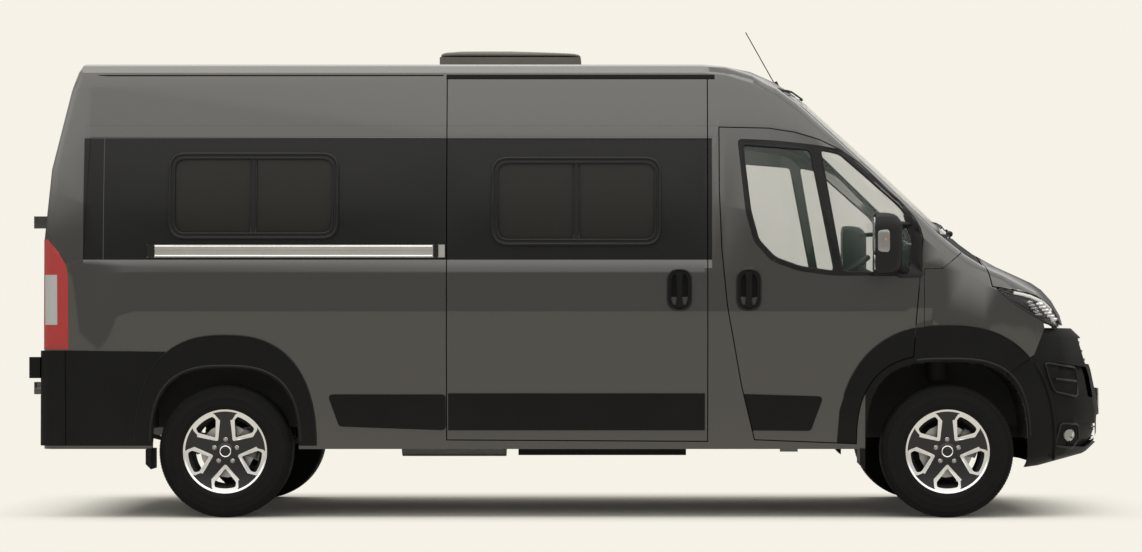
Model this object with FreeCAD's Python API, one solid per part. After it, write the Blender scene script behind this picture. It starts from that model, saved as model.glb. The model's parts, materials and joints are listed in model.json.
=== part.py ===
import FreeCAD, Part

import math
import os

Vector = FreeCAD.Vector
RIGHT = -1
LEFT = 1
SIDES = ((RIGHT, "right"), (LEFT, "left"))

# Driving dimensions in millimetres: X forward, Y to the left, Z up from the ground
LENGTH = 6100.0
BODY_WIDTH = 2030.0
ROOF_HEIGHT = 2580.0
WHEELBASE = 4035.0
FRONT_OVERHANG = 965.0
FRONT_TRACK = 1810.0
REAR_TRACK = 1790.0
TYRE_RADIUS = 372.0
TYRE_WIDTH = 223.0
RIM_RADIUS = 203.0
HUB_BORE = 45.0

# Walls and clearances
WALL = 40.0
DOOR_WALL = 50.0
BONNET_WALL = 30.0
COWL_DEPTH = 4.0
GLASS_DEPTH = 5.0
DOOR_GLASS_DEPTH = 12.0
GLASS_THICKNESS = 6.0
SHUT_GAP = 6.0
SEAT_GAP = 0.3
TRIM_HEIGHT = 12.0
MOULDING_MARGIN = 15.0

# Levels
BODY_BOTTOM = 300.0
SILL_BOTTOM = 385.0
FLOOR_Z = 500.0
FLOOR_THICKNESS = 30.0
WAIST_Z = 1050.0
GROOVE_LOW = 1039.0
GROOVE_HIGH = 1173.0
GROOVE_DEPTH = 14.0
GROOVE_REAR = 320.0
LEDGE_LOW = 1397.0
LEDGE_HIGH = 1443.0
PANEL_RECESS = 6.0
GUTTER_DROP = 100.0
TRIM_BOTTOM = 404.0
MOULDING_LOW = 490.0
MOULDING_HIGH = 696.0
MOULDING_CORNER = 22.0
FLAP_LOW = 272.0
FLAP_THICKNESS = 30.0
RAIL_LOW = 1456.0
RAIL_HIGH = 1527.0
REAR_DOOR_HALF = 880.0
REAR_DOOR_LOW = 560.0
REAR_DOOR_DROP = 180.0
REAR_BUMPER_TOP = 935.0

# Roof
ROOF_BOLT_X = (-2200.0, -1000.0)
ROOF_BOLT_Y = 780.0
ROOF_BOLT_RADIUS = 4.25
VENT_REAR = -793.0
VENT_FRONT = 25.0
VENT_HALF = 310.0
VENT_RIM = 60.0
VENT_BASE_RISE = 56.0
VENT_SEAM = 6.0
VENT_LID_HEIGHT = 37.0

# Wheel carriers
KINGPIN_Y = 800.0
KINGPIN_LOW = 240.0
BRAKE_INSET = 25.0
DISC_RADIUS = 150.0
CHASSIS_RAIL_Y = 430.0
CHASSIS_RAIL_HALF = 45.0
SPRING_Y = 520.0

# Rear hinges
REAR_HINGE_Y = 900.0
REAR_HINGE_HEIGHTS = (690.0, 1620.0)
REAR_HINGE_LEAF = 34.0

# How finely round forms are drawn
WHEEL_FACETS = 24
CORNER_CHORD = 30.0
COARSE_CHORD = 50.0
WHEEL_CORNER_CHORD = 80.0
ARCH_CHORDS = 12
SIDE_STEPS = (0, 0.36, 0.68, 1)

TAIL_X = -LENGTH / 2
NOSE_X = LENGTH / 2
HALF_WIDTH = BODY_WIDTH / 2
FRONT_AXLE_X = NOSE_X - FRONT_OVERHANG
REAR_AXLE_X = FRONT_AXLE_X - WHEELBASE
REAR_HINGE_X = TAIL_X + 24
GUTTER_Z = ROOF_HEIGHT - GUTTER_DROP
REAR_DOOR_HIGH = ROOF_HEIGHT - REAR_DOOR_DROP
VENT_BASE_TOP = ROOF_HEIGHT + VENT_BASE_RISE
VENT_LID_BASE = VENT_BASE_TOP + VENT_SEAM


def placed(anchor, points):
    """Outline points measured from an anchor along the van and from the ground."""
    return [(anchor + x, z) for x, z in points]


def bend(anchor, start, control, end, chords=4):
    """A smooth curve of outline points from start to end, pulled towards a control point."""
    points = []
    for step in range(chords + 1):
        t = step / chords
        x, z = (
            a * (1 - t) ** 2 + b * 2 * t * (1 - t) + c * t * t
            for a, b, c in zip(start, control, end)
        )
        points.append((anchor + x, z))
    return points


def arch(axle_x, half, top, power, base, start=0.0, end=180.0):
    """A wheel arch from its front foot, over the top, to its rear foot."""
    height = top - TYRE_RADIUS
    points = [(axle_x + half, base)] if start == 0 else []
    for step in range(ARCH_CHORDS + 1):
        turn = math.radians(start + (end - start) * step / ARCH_CHORDS)
        across = abs(math.cos(turn)) ** (2 / power) * half
        x = axle_x + math.copysign(across, math.cos(turn))
        points.append((x, TYRE_RADIUS + height * math.sin(turn) ** (2 / power)))
    return points + ([(axle_x - half, base)] if end == 180 else [])


# Body form: how wide, how high and how rounded the skin is at any place
TUMBLEHOME = 5.0e-5
TURN_UNDER = 8.0e-5
ROOF_CROWN = 30.0
FRONT_BOW = 130.0
GUTTER_RADIUS = 110.0
REAR_RADIUS = 75.0
REAR_BOW = 10.0
NOSE_START_X = FRONT_AXLE_X - 35
NOSE_TIP_X = NOSE_X - 75
ROOF_FRONT = -1235.0
STATIONS = [TAIL_X - 50, FRONT_AXLE_X + ROOF_FRONT - FRONT_BOW] + [
    FRONT_AXLE_X + x for x in (ROOF_FRONT, -1085, -955, -835, -745, -365, -35, 105, 205)
] + [NOSE_X + x for x in (-650, -450, -360, -300, -240, -190)]
PROFILE = [(TAIL_X - 1000, ROOF_HEIGHT)] + placed(FRONT_AXLE_X, [
    (ROOF_FRONT, ROOF_HEIGHT), (-1085, ROOF_HEIGHT - 15), (-955, ROOF_HEIGHT - 60),
    (-835, 2455), (-745, 2400), (-365, 2052), (105, 1608), (205, 1525),
]) + placed(NOSE_X, [
    (-650, 1452), (-510, 1392), (-370, 1332), (-290, 1278), (-220, 1195),
    (-170, 1090), (-130, 950), (-50, 700), (50, 500),
])
REAR_LEVELS = placed(TAIL_X, [
    (60, BODY_BOTTOM), (70, 1561), (106, 1951), (210, ROOF_HEIGHT - 180), (245, ROOF_HEIGHT - 80), (285, ROOF_HEIGHT - 20),
    (350, ROOF_HEIGHT + 20),
])
BUMPER_LEVELS = placed(NOSE_X, [
    (-350, 275), (-75, 345), (-23, 394), (0, 460), (0, 590), (-48, 815), (-111, 1007),
    (-165, 1058),
])

# Outlines in side view, as (x, z) points
FRONT_DOOR = (
    placed(FRONT_AXLE_X, [(-1271, 1832), (-1272, 2184)])
    + bend(FRONT_AXLE_X, (-1000, 2178), (-690, 2150), (-485, 1980))
    + bend(FRONT_AXLE_X, (-233, 1734), (-150, 1650), (-140, 1561), 3)
    + arch(FRONT_AXLE_X, 512, 916, 2.8, 420, 105, 172)
    + placed(FRONT_AXLE_X, [(-511, 418), (-1075, 440), (-1148, 744), (-1226, 1185), (-1257, 1497)])
)
SLIDE_REAR = FRONT_AXLE_X - 2795
SLIDE_FRONT = FRONT_AXLE_X - 1342
SLIDING_DOOR = [
    (SLIDE_REAR, GUTTER_Z - 17), (SLIDE_REAR, 439), (SLIDE_FRONT, 431),
    (SLIDE_FRONT, GUTTER_Z - 17),
]
MAIN_GLASS = placed(FRONT_AXLE_X, [
    (-1147, 2092), (-763, 2061), (-629, 1374), (-824, 1402), (-964, 1453),
    (-1058, 1553), (-1103, 1721),
])
QUARTER_GLASS = placed(FRONT_AXLE_X, [
    (-712, 2061), (-601, 2040), (-266, 1748), (-154, 1581), (-154, 1363), (-590, 1374),
])
WINDOW_CORNER = 96.0
FRAME_WIDTH = 40.0
REAR_WINDOW = (REAR_AXLE_X - 318, REAR_AXLE_X + 635, 1556, 2044)
DOOR_WINDOW = (FRONT_AXLE_X - 2549, FRONT_AXLE_X - 1597, 1521, 2020)
PANEL_FRONT = FRONT_AXLE_X - 1315
DARK_PANEL = placed(TAIL_X, [(341, 2129), (308, LEDGE_HIGH)]) + [
    (PANEL_FRONT, LEDGE_HIGH), (PANEL_FRONT, 2120),
]
REAR_ARCH = arch(REAR_AXLE_X, 412, 840, 2.8, 200)
REAR_ARCH_OUTER = arch(REAR_AXLE_X, 512, 1024, 2.5, 200)
REAR_QUARTER = [
    (TAIL_X + 210, 404), (TAIL_X + 210, 936), (REAR_AXLE_X - 334, 928),
    (REAR_AXLE_X - 300, 404),
]
FRONT_ARCH = arch(FRONT_AXLE_X, 460, 880, 3.0, 200)
FRONT_ARCH_OUTER = arch(FRONT_AXLE_X, 620, 1080, 2.4, 200)
BUMPER_SEAM = placed(FRONT_AXLE_X, [(553, 1062), (491, 912), (341, 813)])
LAMP_TOP = ((-692, 1287), (-400, 1278), (-234, 1078))
HEADLAMP = bend(NOSE_X, *LAMP_TOP) + placed(NOSE_X, [
    (-307, 1061), (-414, 1095), (-533, 1157), (-618, 1213),
])
WING = (
    placed(FRONT_AXLE_X, [
        (-129, 860), (-129, 1391), (-31, 1391), (153, 1536), (205, 1575), (217, 1432),
        (247, 1291),
    ])
    + placed(NOSE_X, [(-698, 1287), (-618, 1213), (-533, 1157), (-420, 1095)])
    + BUMPER_SEAM
)
BONNET = (
    placed(FRONT_AXLE_X, [(211, 1620), (223, 1432), (253, 1297)])
    + [(x, z + SHUT_GAP) for x, z in bend(NOSE_X, *LAMP_TOP)]
    + placed(NOSE_X, [(-150, 1062), (-50, 1062), (-50, 1700)])
)
LAMP_REACH = 224.0
TAIL_LAMP = placed(TAIL_X, [
    (30, 942), (30, 1556), (112, 1556), (173, 1484), (213, 1412),
    (LAMP_REACH, 1348), (LAMP_REACH, 942),
])
ROOF_EDGE = [
    (TAIL_X - 50, GUTTER_Z - 74), (TAIL_X + 350, GUTTER_Z - 74), (TAIL_X + 350, GUTTER_Z),
    (FRONT_AXLE_X - 1185, GUTTER_Z), (FRONT_AXLE_X - 985, GUTTER_Z - 50),
    (FRONT_AXLE_X - 585, GUTTER_Z - 50), (FRONT_AXLE_X - 585, ROOF_HEIGHT + 120),
    (TAIL_X - 50, ROOF_HEIGHT + 120),
]
FRONT_CLIP = placed(FRONT_AXLE_X, [
    (-132, 200), (-132, 1394), (-34, 1394), (149, 1540), (201, 1596), (1115, 1596),
    (1115, 200),
])
BUMPER_CLIP = placed(FRONT_AXLE_X, [(341, 807), (489, 906), (553, 1058)]) + [
    (NOSE_X + 50, 1058), (NOSE_X + 50, 250), (FRONT_AXLE_X + 315, 250),
]
SIDE_VENTS = (
    placed(NOSE_X, [(-336, 866), (-304, 771), (-267, 703), (-80, 660), (-100, 780), (-128, 837)]),
    placed(NOSE_X, [(-282, 399), (-234, 524), (-60, 515), (-60, 430), (-148, 383)]),
)
SIDE_VENT_DEPTH = 24.0
GRILLE_OPENINGS = ((560, 850, 1000, 3), (480, 400, 560, 3))
MIRROR_PLINTH = placed(FRONT_AXLE_X, [
    (-285, 1340), (-141, 1345), (-141, 1560), (-177, 1646), (-233, 1716),
    (-247, 1690), (-201, 1560), (-211, 1400), (-285, 1390),
])
JACK_X = FRONT_AXLE_X - 885
JACK_HALF_LENGTH = 50.0
JACK_PAD_DEPTH = 15.0
HANDLE_HEIGHT = 1275.0
HANDLE_HALF_WIDTH = 68.0
HANDLE_HALF_HEIGHT = 115.0
FRONT_HANDLE_X = FRONT_AXLE_X - 1110
SLIDING_HANDLE_X = FRONT_AXLE_X - 1497


def side_width(z):
    """Half the body's width at a height, without the nose's taper."""
    bend_rate = TUMBLEHOME if z > WAIST_Z else TURN_UNDER
    return HALF_WIDTH - bend_rate * (z - WAIST_Z) ** 2


def panel_width(z):
    """Half the body's width at a height, on the flat facets that the side is drawn with."""
    shoulder = ROOF_HEIGHT - ROOF_CROWN - GUTTER_RADIUS
    heights = [BODY_BOTTOM + step * (shoulder - BODY_BOTTOM) for step in SIDE_STEPS]
    return between([(height, side_width(height)) for height in heights], z)


def between(table, place):
    """The value of a table of (place, value) pairs at one place."""
    for (low, first), (high, second) in zip(table, table[1:]):
        if place <= high:
            return first + (second - first) * (place - low) / (high - low)
    return table[-1][1]


def nose_taper(x, start, tip):
    """How much of the full width is left at x as the plan closes towards the tip."""
    if x <= start:
        return 1.0
    share = min((x - start) / (tip - start), 1.0)
    return (1 - share**3) ** (1 / 3)


# Flat-faceted solids
def mirrored(point):
    return Vector(point.x, -point.y, point.z)


def mirror(shape):
    return shape.mirror(Vector(0, 0, 0), Vector(0, 1, 0))


def on_side(shape, side):
    """A shape drawn on the right side, put on the side asked for."""
    return shape if side == RIGHT else mirror(shape)


def largest(shape):
    """The biggest solid of a cut, without its offcuts."""
    return max(shape.Solids, key=lambda solid: solid.Volume)


def group(shapes):
    """Solids that don't touch, kept as one piece."""
    return Part.makeCompound([solid for shape in shapes for solid in shape.Solids])


def both_sides(shape):
    return group([shape, mirror(shape)])


def is_flat(a, b, c, d):
    normal = (b - a).cross(c - a)
    if normal.Length < 1e-6:
        return False
    normal.normalize()
    return abs(normal.dot(d - a)) < 1e-4


def facets_between(near, far):
    """Flat facets that join two rings with the same number of points."""
    faces = []
    count = len(near)
    for index in range(count):
        after = (index + 1) % count
        a, b, c, d = near[index], near[after], far[after], far[index]
        if is_flat(a, b, c, d):
            faces.append(Part.Face(Part.makePolygon([a, b, c, d, a])))
        else:
            faces.append(Part.Face(Part.makePolygon([a, b, c, a])))
            faces.append(Part.Face(Part.makePolygon([a, c, d, a])))
    return faces


def solid_of(faces):
    shell = Part.makeShell(faces)
    shell.sewShape()
    solid = Part.Solid(shell)
    if solid.Volume < 0:
        solid.reverse()
    return solid


def solid_through(rings):
    """A solid with flat facets through rings, closed by its first and last ring."""
    faces = []
    for near, far in zip(rings, rings[1:]):
        faces += facets_between(near, far)
    for ring in (rings[0], rings[-1]):
        faces.append(Part.Face(Part.makePolygon(ring + [ring[0]])))
    return solid_of(faces)


def hoop_through(rings):
    """A closed hoop with flat facets, whose last ring joins its first."""
    faces = []
    for near, far in zip(rings, rings[1:] + rings[:1]):
        faces += facets_between(near, far)
    return solid_of(faces)


# The body as one form at any depth below its skin; deep forms need fewer facets
def is_deep(inset):
    return inset >= BONNET_WALL


def cross_section(x, inset):
    """The body's outline across the van at x, moved in by the inset."""
    side_steps = (0, 0.5, 1) if is_deep(inset) else SIDE_STEPS
    corner_steps = (45, 90) if is_deep(inset) else (30, 60, 90)
    crown_steps = () if is_deep(inset) else (0.7,)
    taper = nose_taper(x, NOSE_START_X, NOSE_TIP_X)
    edge_z = between(PROFILE, x + FRONT_BOW) - ROOF_CROWN - inset
    middle_z = between(PROFILE, x) - inset
    shoulder_z = edge_z - GUTTER_RADIUS
    points = []
    for step in side_steps:
        z = BODY_BOTTOM + step * (shoulder_z - BODY_BOTTOM)
        points.append(Vector(x, -(side_width(z) * taper - inset), z))
    shoulder_y = -points[-1].y
    for step in corner_steps:
        turn = math.radians(step)
        lean = 8 * math.sin(turn)
        y = shoulder_y - lean - GUTTER_RADIUS * (1 - math.cos(turn))
        points.append(Vector(x, -y, shoulder_z + GUTTER_RADIUS * math.sin(turn)))
    top_y = -points[-1].y
    for share in crown_steps:
        points.append(Vector(x, -share * top_y, middle_z - (middle_z - edge_z) * share**2))
    points.append(Vector(x, 0, middle_z))
    return points + [mirrored(p) for p in reversed(points[:-1])]


def rear_section(z, rear_x, inset):
    """The body's plan outline at one height, with rounded rear corners."""
    width = side_width(z) - inset
    back = rear_x + inset
    radius = REAR_RADIUS - inset / 2
    points = [
        Vector(NOSE_X - 50, -width - 60, z),
        Vector(back + radius + 400, -width - 4, z),
        Vector(back + radius, -width, z),
    ]
    for step in (45, 90) if is_deep(inset) else (30, 60, 90):
        turn = math.radians(step)
        x = back + REAR_BOW + radius * (1 - math.sin(turn))
        points.append(Vector(x, -(width - radius * (1 - math.cos(turn))), z))
    points.append(Vector(back + 2, -0.45 * width, z))
    return points + [mirrored(p) for p in reversed(points)]


HULLS = {}
SKINS = {}


def hull(inset):
    """The whole body form as one solid, moved in from the skin by the inset."""
    if inset not in HULLS:
        coarse = STATIONS[:1] + STATIONS[1:-1:2] + STATIONS[-1:]
        stations = coarse if is_deep(inset) else STATIONS
        levels = REAR_LEVELS[::2] if is_deep(inset) else REAR_LEVELS
        long_form = solid_through([cross_section(x, inset) for x in stations])
        rear_form = solid_through([rear_section(z, x, inset) for x, z in levels])
        HULLS[inset] = long_form.common(rear_form).removeSplitter()
    return HULLS[inset]


def skin(outer, inner):
    """The layer of the body between two insets."""
    if (outer, inner) not in SKINS:
        SKINS[(outer, inner)] = hull(outer).cut(hull(inner))
    return SKINS[(outer, inner)]


def trim_layer():
    """The layer that the black trims fill, down to their lower edge."""
    return skin(-TRIM_HEIGHT, 0).common(
        box(TAIL_X - 100, NOSE_X, -1300, 0, TRIM_BOTTOM, WAIST_Z + 100)
    )


# Simple solids
def box(x0, x1, y0, y1, z0, z1):
    return Part.makeBox(x1 - x0, y1 - y0, z1 - z0, Vector(x0, y0, z0))


def rod(start, end, radius, sides=10):
    """A straight bar with a regular polygon for its section."""
    start = Vector(*start)
    along = Vector(*end) - start
    across = along.cross(Vector(0.31, 0.52, 0.79))
    across.normalize()
    rise = along.cross(across)
    rise.normalize()
    ring = []
    for index in range(sides):
        turn = 2 * math.pi * index / sides
        ring.append(start + across * (radius * math.cos(turn)) + rise * (radius * math.sin(turn)))
    return Part.Face(polygon(ring)).extrude(along)


def polygon(points):
    return Part.makePolygon(points + [points[0]])


def rounded(points, radius, chord=CORNER_CHORD):
    """The points of a closed outline with each corner turned in short chords."""
    result = []
    count = len(points)
    for index in range(count):
        corner = points[index]
        back = points[index - 1] - corner
        ahead = points[(index + 1) % count] - corner
        angle = back.getAngle(ahead)
        cut = min(radius / math.tan(angle / 2), 0.45 * back.Length, 0.45 * ahead.Length)
        first = corner + back * (cut / back.Length)
        last = corner + ahead * (cut / ahead.Length)
        chords = max(1, round(math.degrees(math.pi - angle) / chord))
        for step in range(chords + 1):
            t = step / chords
            result.append(first * (1 - t) ** 2 + corner * (2 * t * (1 - t)) + last * t**2)
    return result


def through_side(outline, near=300.0, far=1400.0, radius=0.0, grow=0.0, chord=CORNER_CHORD):
    """A block with a side-view outline of (x, z) points, on the right side."""
    points = [Vector(x, -far, z) for x, z in outline]
    face = Part.Face(polygon(rounded(points, radius, chord) if radius else points))
    if grow:
        face = face.makeOffset2D(grow, 2)
    return face.extrude(Vector(0, far - near, 0))


def through_body(outline, radius=0.0, grow=0.0):
    """A block with a side-view outline that runs through the whole van."""
    return through_side(outline, -1400.0, 1400.0, radius, grow)


def through_ends(outline, x0, x1, radius=0.0):
    """A block with an end-view outline of (y, z) points between two places along the van."""
    points = [Vector(x0, y, z) for y, z in outline]
    face = Part.Face(polygon(rounded(points, radius) if radius else points))
    return face.extrude(Vector(x1 - x0, 0, 0))


def rectangle(low_a, high_a, low_b, high_b, inset=0.0):
    low_a, high_a, low_b, high_b = low_a + inset, high_a - inset, low_b + inset, high_b - inset
    return [(low_a, low_b), (high_a, low_b), (high_a, high_b), (low_a, high_b)]


def turned(profile, x, y, count=WHEEL_FACETS):
    """A ring turned about a wheel's axis from (radius, offset along Y) points."""
    rings = []
    for index in range(count):
        turn = 2 * math.pi * index / count
        rings.append([
            Vector(x + r * math.cos(turn), y + across, TYRE_RADIUS + r * math.sin(turn))
            for r, across in profile
        ])
    return hoop_through(rings)


def disc(x, y, radius, width, outward, count=WHEEL_FACETS):
    """A round plate on a wheel's axis, from y outwards."""
    points = []
    for index in range(count):
        turn = 2 * math.pi * index / count
        points.append(Vector(
            x + radius * math.cos(turn), y, TYRE_RADIUS + radius * math.sin(turn)
        ))
    return Part.Face(polygon(points)).extrude(Vector(0, outward * width, 0))


# Body shell
def windscreen_block():
    outline = [(-905, 1570), (905, 1570), (790, 2424), (-790, 2424)]
    return through_ends(outline, FRONT_AXLE_X - 1035, FRONT_AXLE_X + 515, 60)


def swage():
    """The long groove pressed into the side below the window line."""
    middle = (GROOVE_LOW + GROOVE_HIGH) / 2
    outline = [
        (-HALF_WIDTH - 10, GROOVE_HIGH), (-panel_width(GROOVE_HIGH), GROOVE_HIGH),
        (-panel_width(middle) + GROOVE_DEPTH, middle), (-panel_width(GROOVE_LOW), GROOVE_LOW),
        (-HALF_WIDTH - 10, GROOVE_LOW),
    ]
    rear, front = TAIL_X + GROOVE_REAR, FRONT_AXLE_X - 85
    ends = rectangle(rear, front + 100, GROOVE_LOW, GROOVE_HIGH)
    return through_ends(outline, rear, front).common(through_side(ends, radius=60))


def ledge():
    """The sloping step that the dark panel stands on."""
    outline = [
        (-HALF_WIDTH - 10, LEDGE_LOW), (-panel_width(LEDGE_LOW), LEDGE_LOW),
        (-panel_width(LEDGE_HIGH) + PANEL_RECESS, LEDGE_HIGH), (-HALF_WIDTH - 10, LEDGE_HIGH),
    ]
    return through_ends(outline, TAIL_X + 308, PANEL_FRONT)


def pressings():
    """What is pressed into the right side: the groove, the dark panel's recess, its ledge."""
    recess = skin(0, PANEL_RECESS).common(through_side(DARK_PANEL, 500))
    return [swage(), recess, ledge()]


def window_block(window, inset=0.0):
    return through_side(rectangle(*window, inset), radius=WINDOW_CORNER - inset)


def rear_door_block(grow):
    outline = rectangle(-REAR_DOOR_HALF, REAR_DOOR_HALF, REAR_DOOR_LOW, REAR_DOOR_HIGH, -grow)
    return through_ends(outline, TAIL_X - 150, TAIL_X + 450, 40)


def hinge_pillar():
    """The post behind the front wing, with the lugs that the door hangs on."""
    depth = hull(BONNET_WALL + 1)
    back, front = FRONT_AXLE_X - 123, FRONT_AXLE_X - 75
    outer = -HALF_WIDTH + 37
    post = box(back, front, outer, -900, 990, 1480)
    post = post.fuse(box(back, front + 100, outer, -900, 1400, 1480))
    lugs = [box(back - 60, back, outer - 7, outer + 13, z, z + 70) for z in (1010, 1290)]
    return post.fuse(lugs).common(depth).cut(through_side(FRONT_DOOR, grow=SEAT_GAP))


def jack_pad():
    """The block below the sill that a jack bears on."""
    return box(
        JACK_X - JACK_HALF_LENGTH, JACK_X + JACK_HALF_LENGTH, -HALF_WIDTH + 44, -HALF_WIDTH + 76,
        SILL_BOTTOM - JACK_PAD_DEPTH, SILL_BOTTOM + 5,
    )


def side_panel(side):
    panel = skin(0, WALL).common(
        box(TAIL_X - 50, NOSE_X - 50, -1300, -20, SILL_BOTTOM, ROOF_HEIGHT + 20)
    )
    cuts = [
        through_body(ROOF_EDGE),
        through_side(FRONT_DOOR, grow=SHUT_GAP),
        through_side(FRONT_CLIP),
        through_side(FRONT_ARCH),
        through_side(REAR_ARCH),
        window_block(REAR_WINDOW),
        through_side(TAIL_LAMP, REAR_DOOR_HALF),
        rear_door_block(SHUT_GAP),
        windscreen_block(),
        box(FRONT_AXLE_X - 85, NOSE_X, -886, 0, 200, 1576),
        box(TAIL_X - 50, TAIL_X + 450, -REAR_DOOR_HALF, 0, 200, REAR_DOOR_LOW),
    ]
    if side == RIGHT:
        cuts.append(through_side(SLIDING_DOOR, grow=SHUT_GAP))
    panel = largest(panel.cut(cuts + pressings()))
    return on_side(panel.fuse([hinge_pillar(), jack_pad()]).removeSplitter(), side)


def sliding_door():
    door = skin(0, DOOR_WALL).common(through_side(SLIDING_DOOR))
    return door.cut([window_block(DOOR_WINDOW)] + pressings()).removeSplitter()


def hatch_block():
    return box(
        VENT_REAR + VENT_RIM, VENT_FRONT - VENT_RIM, -VENT_HALF + VENT_RIM, VENT_HALF - VENT_RIM,
        ROOF_HEIGHT - 180, ROOF_HEIGHT + 220,
    )


def roof_panel():
    roof = skin(0, WALL).common(through_body(ROOF_EDGE))
    bolts = [
        Part.makeCylinder(ROOF_BOLT_RADIUS, 300, Vector(x, y, ROOF_HEIGHT - 200))
        for x in ROOF_BOLT_X for y in (-ROOF_BOLT_Y, ROOF_BOLT_Y)
    ]
    return roof.cut([hatch_block()] + bolts).removeSplitter()


def wings():
    region = through_side(WING, 886).fuse(
        through_side(WING, 300).common(box(FRONT_AXLE_X + 211, NOSE_X, -1400, -300, 0, 3000))
    )
    panel = skin(0, BONNET_WALL).common(region).cut([through_side(FRONT_ARCH), swage()])
    return both_sides(largest(panel))


def bonnet():
    return largest(skin(0, BONNET_WALL).common(through_body(BONNET)))


def cowl():
    """The black panel below the windscreen, with the two arms that carry the bonnet."""
    back, front = FRONT_AXLE_X - 85, FRONT_AXLE_X + 205
    panel = skin(COWL_DEPTH, WALL).common(box(back, front, -880, 880, 1380, 1570))
    arm = box(FRONT_AXLE_X + 145, FRONT_AXLE_X + 275, -730, -690, 1340, 1560)
    arms = both_sides(arm.common(hull(BONNET_WALL + SEAT_GAP)))
    return largest(panel).fuse(arms.Solids)


def windscreen():
    return skin(GLASS_DEPTH, GLASS_DEPTH + GLASS_THICKNESS).common(windscreen_block())


def floor_pan():
    """Floor, bulkhead and rear wheel housings in one pressing."""
    floor_top = FLOOR_Z + FLOOR_THICKNESS
    outline = [(TAIL_X + 50, floor_top), (TAIL_X + 50, FLOOR_Z)] + placed(FRONT_AXLE_X, [
        (-605, FLOOR_Z), (-495, 600), (-445, 940), (-5, 960), (95, 1300), (65, 1300),
        (-33, 990), (-477, 970), (-523, 620), (-619, floor_top),
    ])
    inner = hull(WALL + SEAT_GAP)
    pan = through_body(outline).common(inner)
    hollow = box(REAR_AXLE_X - 406, REAR_AXLE_X + 419, -1100, -760, 300, 860)
    pan = pan.cut(both_sides(hollow))
    tub = box(REAR_AXLE_X - 414, REAR_AXLE_X + 427, -1000, -752, FLOOR_Z, 868)
    housing = tub.common(inner).cut(hollow)
    pan = pan.cut(skin(WALL, DOOR_WALL).common(through_side(SLIDING_DOOR, grow=SHUT_GAP)))
    door_room = skin(0, DOOR_WALL + SHUT_GAP).common(through_side(FRONT_DOOR, grow=2 * SHUT_GAP))
    pan = pan.cut([door_room, mirror(door_room)])
    tail = skin(0, WALL).common(box(
        TAIL_X - 50, TAIL_X + 207, -REAR_DOOR_HALF, REAR_DOOR_HALF, 404, REAR_DOOR_LOW - SHUT_GAP
    ))
    return pan.fuse([housing, mirror(housing), tail]).removeSplitter()


# Doors
def door_glass_blocks():
    return [
        through_side(MAIN_GLASS, radius=30, chord=COARSE_CHORD),
        through_side(QUARTER_GLASS, radius=25, chord=COARSE_CHORD),
    ]


def front_door(side):
    door = skin(0, DOOR_WALL).common(through_side(FRONT_DOOR))
    return on_side(door.cut(door_glass_blocks() + [swage()]), side)


def front_door_glass(side):
    layer = skin(DOOR_GLASS_DEPTH, DOOR_GLASS_DEPTH + GLASS_THICKNESS)
    return on_side(group([layer.common(block) for block in door_glass_blocks()]), side)


def rear_door(side):
    outline = rectangle(-REAR_DOOR_HALF, -SHUT_GAP, REAR_DOOR_LOW, REAR_DOOR_HIGH)
    door = skin(0, DOOR_WALL).common(through_ends(outline, TAIL_X - 150, TAIL_X + 450, 34))
    step = REAR_HINGE_LEAF + SEAT_GAP
    leaves = [
        hinge_leaf(z + step, -REAR_HINGE_Y - 4, -REAR_HINGE_Y + 40) for z in REAR_HINGE_HEIGHTS
    ]
    return on_side(largest(door.cut(rear_window_block())).fuse(leaves), side)


def rear_window_block():
    return through_ends(rectangle(-770, -150, 1470, 2060), TAIL_X - 150, TAIL_X + 450, 70)


def rear_door_glass(side):
    pane = skin(GLASS_DEPTH, GLASS_DEPTH + GLASS_THICKNESS).common(rear_window_block())
    return on_side(pane, side)


def hinge_leaf(z, low_y, high_y):
    """A barrel on the rear door's hinge line with the arm that joins it to the skin."""
    foot = (REAR_HINGE_X, -REAR_HINGE_Y, z)
    barrel = rod(foot, (REAR_HINGE_X, -REAR_HINGE_Y, z + REAR_HINGE_LEAF), 9, 6)
    arm = box(REAR_HINGE_X, TAIL_X + 150, low_y, high_y, z, z + REAR_HINGE_LEAF)
    return barrel.fuse(arm).cut(hull(0))


def rear_hinges():
    return both_sides(group([
        hinge_leaf(z, -REAR_HINGE_Y - 26, -REAR_HINGE_Y - 4) for z in REAR_HINGE_HEIGHTS
    ]))


# Bumpers, lamps and trims
def bumper_section(z, tip, inset):
    """The front bumper's plan outline at one height."""
    width = side_width(z) - inset
    front = tip - inset
    points = [Vector(FRONT_AXLE_X + 115, -width, z)]
    for share in (0.985, 0.93, 0.82, 0.62, 0.32):
        x = NOSE_START_X + (front - NOSE_START_X) * (1 - share**3) ** (1 / 3)
        points.append(Vector(max(x, FRONT_AXLE_X + 125 + (1 - share)), -share * width, z))
    points.append(Vector(front, 0, z))
    return points + [mirrored(p) for p in reversed(points[:-1])]


def bumper_form(inset):
    coarse = BUMPER_LEVELS[:1] + BUMPER_LEVELS[1::2]
    levels = coarse if is_deep(inset) else BUMPER_LEVELS
    return solid_through([bumper_section(z, tip, inset) for tip, z in levels])


def grille_block(half, low, high):
    return through_ends(rectangle(-half, half, low, high), NOSE_X - 550, NOSE_X + 50, 40)


def front_bumper():
    shell = bumper_form(0).cut(bumper_form(35)).common(through_body(BUMPER_CLIP))
    openings = [grille_block(half, low, high) for half, low, high, rows in GRILLE_OPENINGS]
    layer = bumper_form(-TRIM_HEIGHT).cut(bumper_form(SIDE_VENT_DEPTH))
    for outline in SIDE_VENTS:
        openings.append(both_sides(layer.common(through_side(outline))))
    return shell.cut(openings + [both_sides(through_side(FRONT_ARCH))])


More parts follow.
